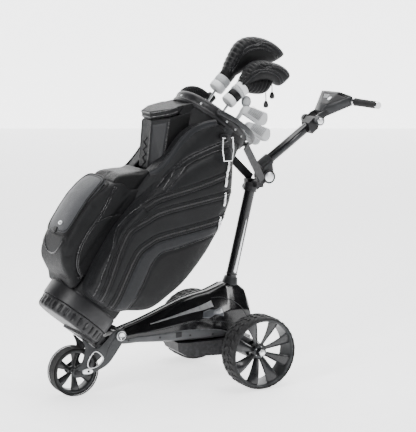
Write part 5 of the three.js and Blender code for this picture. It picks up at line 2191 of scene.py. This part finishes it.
def on_top(line, sign, count=80):
    """Points on the chassis' upper edge, from (x, y share of the top's half width)."""
    points, normals = [], []
    for x, share in spline(line, count, False, 0.4):
        half, low, high, top = chassis_section(x)
        hit, normal, _, _ = skin.ray_cast(at(x, sign * top * share, high + 60), Vector((0, 0, -1)))
        points.append(hit or at(x, sign * top * share, high))
        normals.append(normal or Vector((0, 0, 1)))
    return points, normals


def skin_panel(name, high_line, low_line, sign, material, thick, count=60, across=10):
    """A raised panel on a flank between two lines in (x, z)."""
    a, b = spline(high_line, count, False, 0.35), spline(low_line, count, False, 0.35)
    spots = [p * (1 - t) + q * t for p, q in zip(a, b) for t in np.linspace(0, 1, across)]
    flat = [at(x, sign * 140, z) for x, z in spots]
    points, normals = [], []
    for p in flat:
        hit, normal, _, _ = skin.ray_cast(p, Vector((0, -sign, 0)))
        if hit is None:
            hit, normal, _, _ = skin.find_nearest(p + Vector((0, -sign * 80, 0)) * MM)
        points.append(hit)
        normals.append(normal)
    top = []
    for k, (p, n) in enumerate(zip(points, normals)):
        i, j = divmod(k, across)
        rise = 0.2 if i in (0, count - 1) or j in (0, across - 1) else thick
        top.append(p + n * rise * MM)
    under = [p - n * 3 * MM for p, n in zip(points, normals)]
    return slab(name, top, under, count, across, material)


for side, sign in SIDES:
    ridge, out = on_top(
        [(-462, 0.85), (-378, 0.86), (-250, 0.86), (-190, 0.86), (-84, 0.86), (-20, 0.84)], sign, 110
    )
    put(
        f"ridge_{side}",
        [swept(ridge, [(-4.5, -3), (4.5, -3), (3.6, 2), (1.6, 3.6), (-1.6, 3.6), (-3.6, 2)], out)],
        GLOSS_BLACK, "root", "gloss_black"
    )
    put(
        f"ridge_line_{side}",
        [swept([p + Vector((0, -sign * 5.4, 0)) * MM for p in ridge], ring(0.9, 6), out)], SILVER, "root",
        "steel"
    )
    strip_high = [(-330, 232), (-240, 252), (-170, 268), (-120, 280), (-80, 292)]
    strip_low = [(-330, 229), (-240, 245), (-170, 256), (-120, 262), (-76, 270)]
    keep(skin_panel(f"silver_flash_{side}", strip_high, strip_low, sign, FLASH_GREY, 1.6), "root", "steel")
    window_high = [(-122, 256), (-96, 262), (-70, 260), (-44, 268)]
    window_low = [(-130, 236), (-104, 232), (-78, 242), (-40, 232)]
    keep(
        skin_panel(f"smoked_window_{side}", window_high, window_low, sign, SMOKED, 1.2, 50), "root",
        "gloss_black"
    )
    arch, out = on_side([(-78, 300), (-40, 300), (0, 286), (34, 262), (62, 226), (72, 196)], sign, 80)
    put(f"arch_line_{side}", [swept(arch, ring(1.6, 8), out)], GREY_MOULDING, "root", "cast_grey")
    fold_line, out = on_side(
        [(-452, 196), (-378, 202), (-300, 208), (-220, 218), (-150, 226), (-60, 216), (20, 196), (66, 176)],
        sign, 110
    )
    put(f"flank_line_{side}", [swept(fold_line, ring(1.5, 8), out)], GREY_MOULDING, "root", "cast_grey")
    skirt_high = [(-452, 184), (-380, 190), (-300, 194), (-200, 198), (-110, 194), (-60, 186), (-20, 172)]
    skirt_low = [(-452, 176), (-380, 169), (-300, 165), (-200, 158), (-110, 155), (-60, 154), (-20, 156)]
    keep(skin_panel(f"skirt_{side}", skirt_high, skirt_low, sign, SKIRT_GREY, 2.2, 70), "root", "cast_grey")
    found = skin.ray_cast(at(-226, sign * 140, 182), Vector((0, -sign, 0)))
    depth = abs(found[0].y) / MM
    outline = [(-238, 172), (-238, 192), (-214, 194), (-214, 173)]
    keep(
        plate(
            f"charge_port_{side}", outline, *sorted((sign * (depth - 3), sign * (depth + 3.4))), SATIN_BLACK,
            (), 1.2, at, False
        ),
        "root", "satin_black"
    )
    screws = []
    for x, z in ((-420, 180), (-300, 180), (-180, 176), (-90, 172), (-24, 176), (30, 178)):
        hit, normal, _, _ = skin.ray_cast(at(x, sign * 140, z), Vector((0, -sign, 0)))
        screws.append(
            lathe([(1, 0), (4, 0), (4, 3.0), (3.2, 3.6), (1.6, 3.6), (1.2, 2.4), (0.6, 2.4)], hit, normal, 20)
        )
    put(f"chassis_screws_{side}", screws, SATIN_BLACK, "root", "satin_black")

nose = []
for x in (-466, -458):
    half, low, high, top = chassis_section(x)
    arch = [(-half - 0.8, low + 3), (-half - 0.8, (low + high) / 2), (-top - 1, high + 0.6), (0, high + 0.4)]
    arch += [(-a, b) for a, b in reversed(arch[:-1])]
    nose.append([at(x, a, b) for a, b in spline(arch, 60, False, 0.3)])
nose_path = [(p + q) / 2 for p, q in zip(*nose)]
nose_out = [Vector((0, p.y, p.z - at(0, 0, 195).z)).normalized() for p in nose[0]]
band = swept(nose_path, [(-4, -2.4), (4, -2.4), (4, 0.6), (-4, 0.6)], nose_out)
put("nose_band", [band], PALE_MOULDING, "root", "cast_grey")

# The lower tube, with its collar, ring and silver inserts.
TUBE_FOOT = np.array((21.0, 339.0))
TUBE_HEAD = np.array((113.0, 707.0))
TUBE_LENGTH = float(np.linalg.norm(TUBE_HEAD - TUBE_FOOT))
TUBE_WAY = (TUBE_HEAD - TUBE_FOOT) / TUBE_LENGTH
TUBE_ACROSS = np.array((TUBE_WAY[1], -TUBE_WAY[0]))


def around_tube(along, deep, wide, power, sides=40):
    """A section round the lower tube at a distance up it, with its half depth and half width."""
    x, z = TUBE_FOOT + TUBE_WAY * along
    line = []
    for k in range(sides):
        c, s = squared(k, sides, power)
        line.append(at(x + TUBE_ACROSS[0] * (c * deep), s * wide, z + TUBE_ACROSS[1] * (c * deep)))
    return line


tube = [around_tube(t, 20, 17, 2.3) for t in np.linspace(-49, TUBE_LENGTH - 0.5, 40)]
put("lower_tube_skin", [loft(tube)], TUBE_BLACK, "root", "tube_black", "lower_tube", edge=60)
collar = [
    around_tube(t, 20 + e, 17 + e, 2.6) for t,
    e in ((-26, 4), (-24, 8.5), (-4, 9), (6, 8), (18, 5.5), (24, 4.4), (27, 3), (27.5, 0.6))
]
put("tube_collar", [loft(collar)], GREY_MOULDING, "root", "cast_grey", edge=50)
trim = [around_tube(t, 20 + e, 17 + e, 2.4) for t, e in ((34, 0.2), (34.5, 1.3), (38.5, 1.3), (39, 0.2))]
put("tube_ring", [loft(trim)], SATIN_BLACK, "root", "satin_black", edge=50)
for side, sign in SIDES:
    start, end, low_width, high_width = 42, 250, 15, 2
    rows = []
    for t in np.linspace(0, 1, 50):
        x, z = TUBE_FOOT + TUBE_WAY * (start + (end - start) * t)
        wide = low_width + (high_width - low_width) * t
        wide *= math.sqrt(max(0.05, min(1, t / 0.03, (1 - t) / 0.03)))
        line = []
        for j in range(9):
            a = (j / 8 - 0.5) * wide + 3
            flat = 17 * (1 - abs(a / 20) ** 2.3) ** (1 / 2.3)
            rise = 0.9 if 0 < j < 8 else -0.4
            line.append(at(x + TUBE_ACROSS[0] * a, sign * (flat + rise), z + TUBE_ACROSS[1] * a))
        for j in range(8, -1, -1):
            a = (j / 8 - 0.5) * wide + 3
            line.append(at(x + TUBE_ACROSS[0] * a, sign * 13, z + TUBE_ACROSS[1] * a))
        rows.append(line)
    put(f"tube_insert_{side}", [loft(rows)], SILVER, "root", "steel")

# ---- handle ----
UPPER_FOOT = np.array((160.5, 776.0))
UPPER_HEAD = np.array((372.0, 918.0))
UPPER_LENGTH = float(np.linalg.norm(UPPER_HEAD - UPPER_FOOT))
UPPER_WAY = (UPPER_HEAD - UPPER_FOOT) / UPPER_LENGTH
UPPER_RADIUS = 18.5


def on_upper(along, turn, radius=UPPER_RADIUS):
    """A point round the upper tube; a turn of 0 is its upper side and of a quarter its left side."""
    x, z = UPPER_FOOT + UPPER_WAY * along
    lift, side = radius * math.cos(turn), radius * math.sin(turn)
    return at(x - UPPER_WAY[1] * lift, -side, z + UPPER_WAY[0] * lift)


axis = at(UPPER_HEAD[0], 0, UPPER_HEAD[1]) - at(UPPER_FOOT[0], 0, UPPER_FOOT[1])
tube = [
    (4, 0), (UPPER_RADIUS - 0.6, 0), (UPPER_RADIUS - 0.1, 0.8), (UPPER_RADIUS - 0.1, UPPER_LENGTH - 0.8),
    (UPPER_RADIUS - 0.8, UPPER_LENGTH), (4, UPPER_LENGTH)
]
put(
    "upper_tube_skin", [lathe(tube, at(UPPER_FOOT[0], 0, UPPER_FOOT[1]), axis, 72)], TUBE_BLACK, "handle",
    "tube_black", "upper_tube", edge=50
)
for side, sign in SIDES:
    rows = []
    for t in np.linspace(44, UPPER_LENGTH - 36, 40):
        low = [
            on_upper(t, -sign * (1.35 + 0.09 * k), UPPER_RADIUS + (0.7 if 0 < k < 9 else -0.3))
            for k in range(10)
        ]
        rows.append(
            low + [on_upper(t, -sign * (1.35 + 0.09 * k), UPPER_RADIUS - 3) for k in range(9, -1, -1)]
        )
    put(f"upper_panel_{side}", [loft(rows)], GREY_MOULDING, "handle", "cast_grey")
    # A thin grey line along each side of the upper tube: a painted highlight.
    line = [on_upper(t, -sign * 1.28, UPPER_RADIUS + 0.1) for t in np.linspace(44, UPPER_LENGTH - 36, 40)]
    put(f"upper_line_{side}", [swept(line, ring(0.5, 6))], CAST_GREY, "handle", "cast_grey")

# Discs on the hinge pin's heads and caps on the clamp's knobs.
HINGE = (172, 734)
CLAMP = (384, 934)
for side, sign in SIDES:
    face = at(HINGE[0], sign * 34, HINGE[1])
    put(
        f"hinge_disc_{side}",
        [
            lathe(
                [(1, -0.5), (19, -0.5), (19.2, 1.6), (17.6, 2.6), (6, 3.0), (1, 3.0)], face, (0, sign, 0), 56
            )
        ],
        SILVER, "root", "steel"
    )
    put(
        f"hinge_ring_{side}",
        [
            lathe(
                [(19.2, -3), (25, -3), (25, 2.4), (23.5, 3.4), (20, 3.4), (19.2, 2.4)], face, (0, sign, 0),
                56, True
            )
        ],
        SATIN_BLACK, "root", "satin_black"
    )
    knob_face = at(CLAMP[0], sign * 54.4, CLAMP[1])
    put(
        f"knob_cap_{side}",
        [
            lathe(
                [(1, -0.4), (12.5, -0.4), (12.8, 0.8), (11, 2.0), (4, 2.4), (1, 2.4)], knob_face,
                (0, sign, 0), 40
            )
        ],
        SILVER, f"knob_{side}", "steel"
    )

# Control head: a faceted pod with a dark band, a light upper face and a rounded nose.
POD = [
    (480, 84, 1036), (487, -30, 1038), (502, -92, 1026), (500, 84, 1010), (514, -92, 994), (474, -66, 998),
    (466, 66, 1008), (404, -22, 968), (404, 22, 968), (426, -22, 944), (426, 22, 944)
]
pod = merged("control_pod", [facets([at(*p) for p in POD])], GREY_MOULDING)
rounded(pod, 3.5, 3, 12)
applied(pod)
keep(shaded(pod, 40), "head", "satin_black", "control_head")
ear = [
    (
        CLAMP[0] + 15 * math.cos(a), CLAMP[1] + 15 * math.sin(a)
    ) for a in np.linspace(math.radians(130), math.radians(330), 12)
]
ear += [(420, 946), (436, 958), (428, 974), (396, 962)]
for side, sign in SIDES:
    ear_plate = plate(
        f"head_ear_{side}", ear, *sorted((sign * 26.4, sign * 34.4)), SATIN_BLACK, (), 1.6, at, False
    )
    keep(ear_plate, "head", "satin_black")
pod_skin = tree_of(pod)
TOP_WAY = Vector((0.62, 0, -0.78))


def pod_panel(name, corners, material, thick, count=16):
    """A panel laid on the pod between four (x, y, z) corners."""
    points, _ = pressed(pod_skin, [at(*p) for p in between(corners, count)], TOP_WAY, 60)
    face = -TOP_WAY.normalized()
    rises = [0.1 if {*divmod(k, count)} & {0, count - 1} else thick for k in range(count * count)]
    top = [p + face * rise * MM for p, rise in zip(points, rises)]
    under = [p - face * 3 * MM for p in points]
    return slab(name, top, under, count, count, material)


keep(
    pod_panel(
        "pod_face", [(430, -26, 992), (480, -78, 1026), (474, 74, 1030), (430, 20, 992)], SATIN_BLACK, 0.9
    ),
    "head", "satin_black"
)
keep(
    pod_panel("pod_display", [(452, 4, 1010), (470, 6, 1024), (468, 48, 1024), (452, 30, 1010)], SMOKED, 1.8),
    "head", "gloss_black"
)
keep(
    pod_panel(
        "pod_band", [(478, -74, 1026), (490, -80, 1036), (482, 78, 1038), (472, 72, 1030)], GLOSS_BLACK, 1.2
    ),
    "head", "gloss_black"
)

# Grip: a rubber sleeve with moulded ribs, a chrome collar and an end cap.
GRIP_START = np.array((509.0, -92.0, 1004.0))
GRIP_END = np.array((527.0, -226.0, 1001.0))
GRIP_WAY = (GRIP_END - GRIP_START) / np.linalg.norm(GRIP_END - GRIP_START)


def on_grip(along):
    return at(*(GRIP_START + GRIP_WAY * along))


grip_axis = Vector(GRIP_WAY)
profile = [(11, 11.4), (14.2, 11.6), (14.5, 13)]
for i in range(48):
    s = 14 + 112 * i / 47
    profile.append((14.5 - 0.5 * i / 47 - (0.7 if i % 4 == 0 else 0), s))
profile += [(13.6, 127.4), (11, 128)]
put(
    "grip_sleeve_skin", [lathe(profile, on_grip(0), grip_axis, 56)], TYRE, "head", "gloss_black",
    "grip_sleeve", edge=60
)


# ---- pieces carried over from the frame ----
CARRIED = {
    "drive_axle_left": (STEEL, 0.8), "drive_axle_right": (STEEL, 0.8),
    "drive_motor_left": (SATIN_BLACK, 3.0), "drive_motor_right": (SATIN_BLACK, 3.0),
    "front_axle": (SATIN_BLACK, 1.0), "fork_pivot_pin": (STEEL, 1.2), "battery_pack": (CAST_GREY, 4.0),
    "gearbox_housing": (SATIN_BLACK, 5.0), "fold_bracket": (SATIN_BLACK, 1.2), "upper_socket": (
        SATIN_BLACK, 1.2
    ),
    "fold_pin": (STEEL, 1.4), "fold_knob": (SATIN_BLACK, 2.0), "handle_clamp": (SATIN_BLACK, 2.0),
    "clamp_knob_left": (GREY_MOULDING, 1.2), "clamp_knob_right": (
        GREY_MOULDING, 1.2
    ), "power_button": (SILVER, 0.8),
    "grip_bar": (STEEL, 0.5), "speed_dial": (CHROME, 1.0), "grip_cap": (CHROME, 2.0),
    "base_cradle": (SATIN_BLACK, 2.0), "cradle_arm_left": (SATIN_BLACK, 1.6), "cradle_arm_right": (
        SATIN_BLACK, 1.6
    ),
    "divider_long": (SATIN_BLACK, 1.2), "divider_left": (SATIN_BLACK, 1.2), "divider_right": (
        SATIN_BLACK, 1.2
    ),
    "driver_shaft": (STEEL, 0.4), "fairway_shaft": (STEEL, 0.4), "putter_shaft": (STEEL, 0.4),
    "towel_ring": (CHROME, 0.3), "towel_ring_tab": (SATIN_BLACK, 1.2),
}
for node, (material, width) in CARRIED.items():
    piece = bpy.data.objects[node]
    piece.data.materials.clear()
    piece.data.materials.append(material)
    rounded(piece, width)

with open("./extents.json", "w") as out:
    json.dump({"cad": [list(c) for c in cad_bounds], "visual": [list(c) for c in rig.bounds()]}, out)
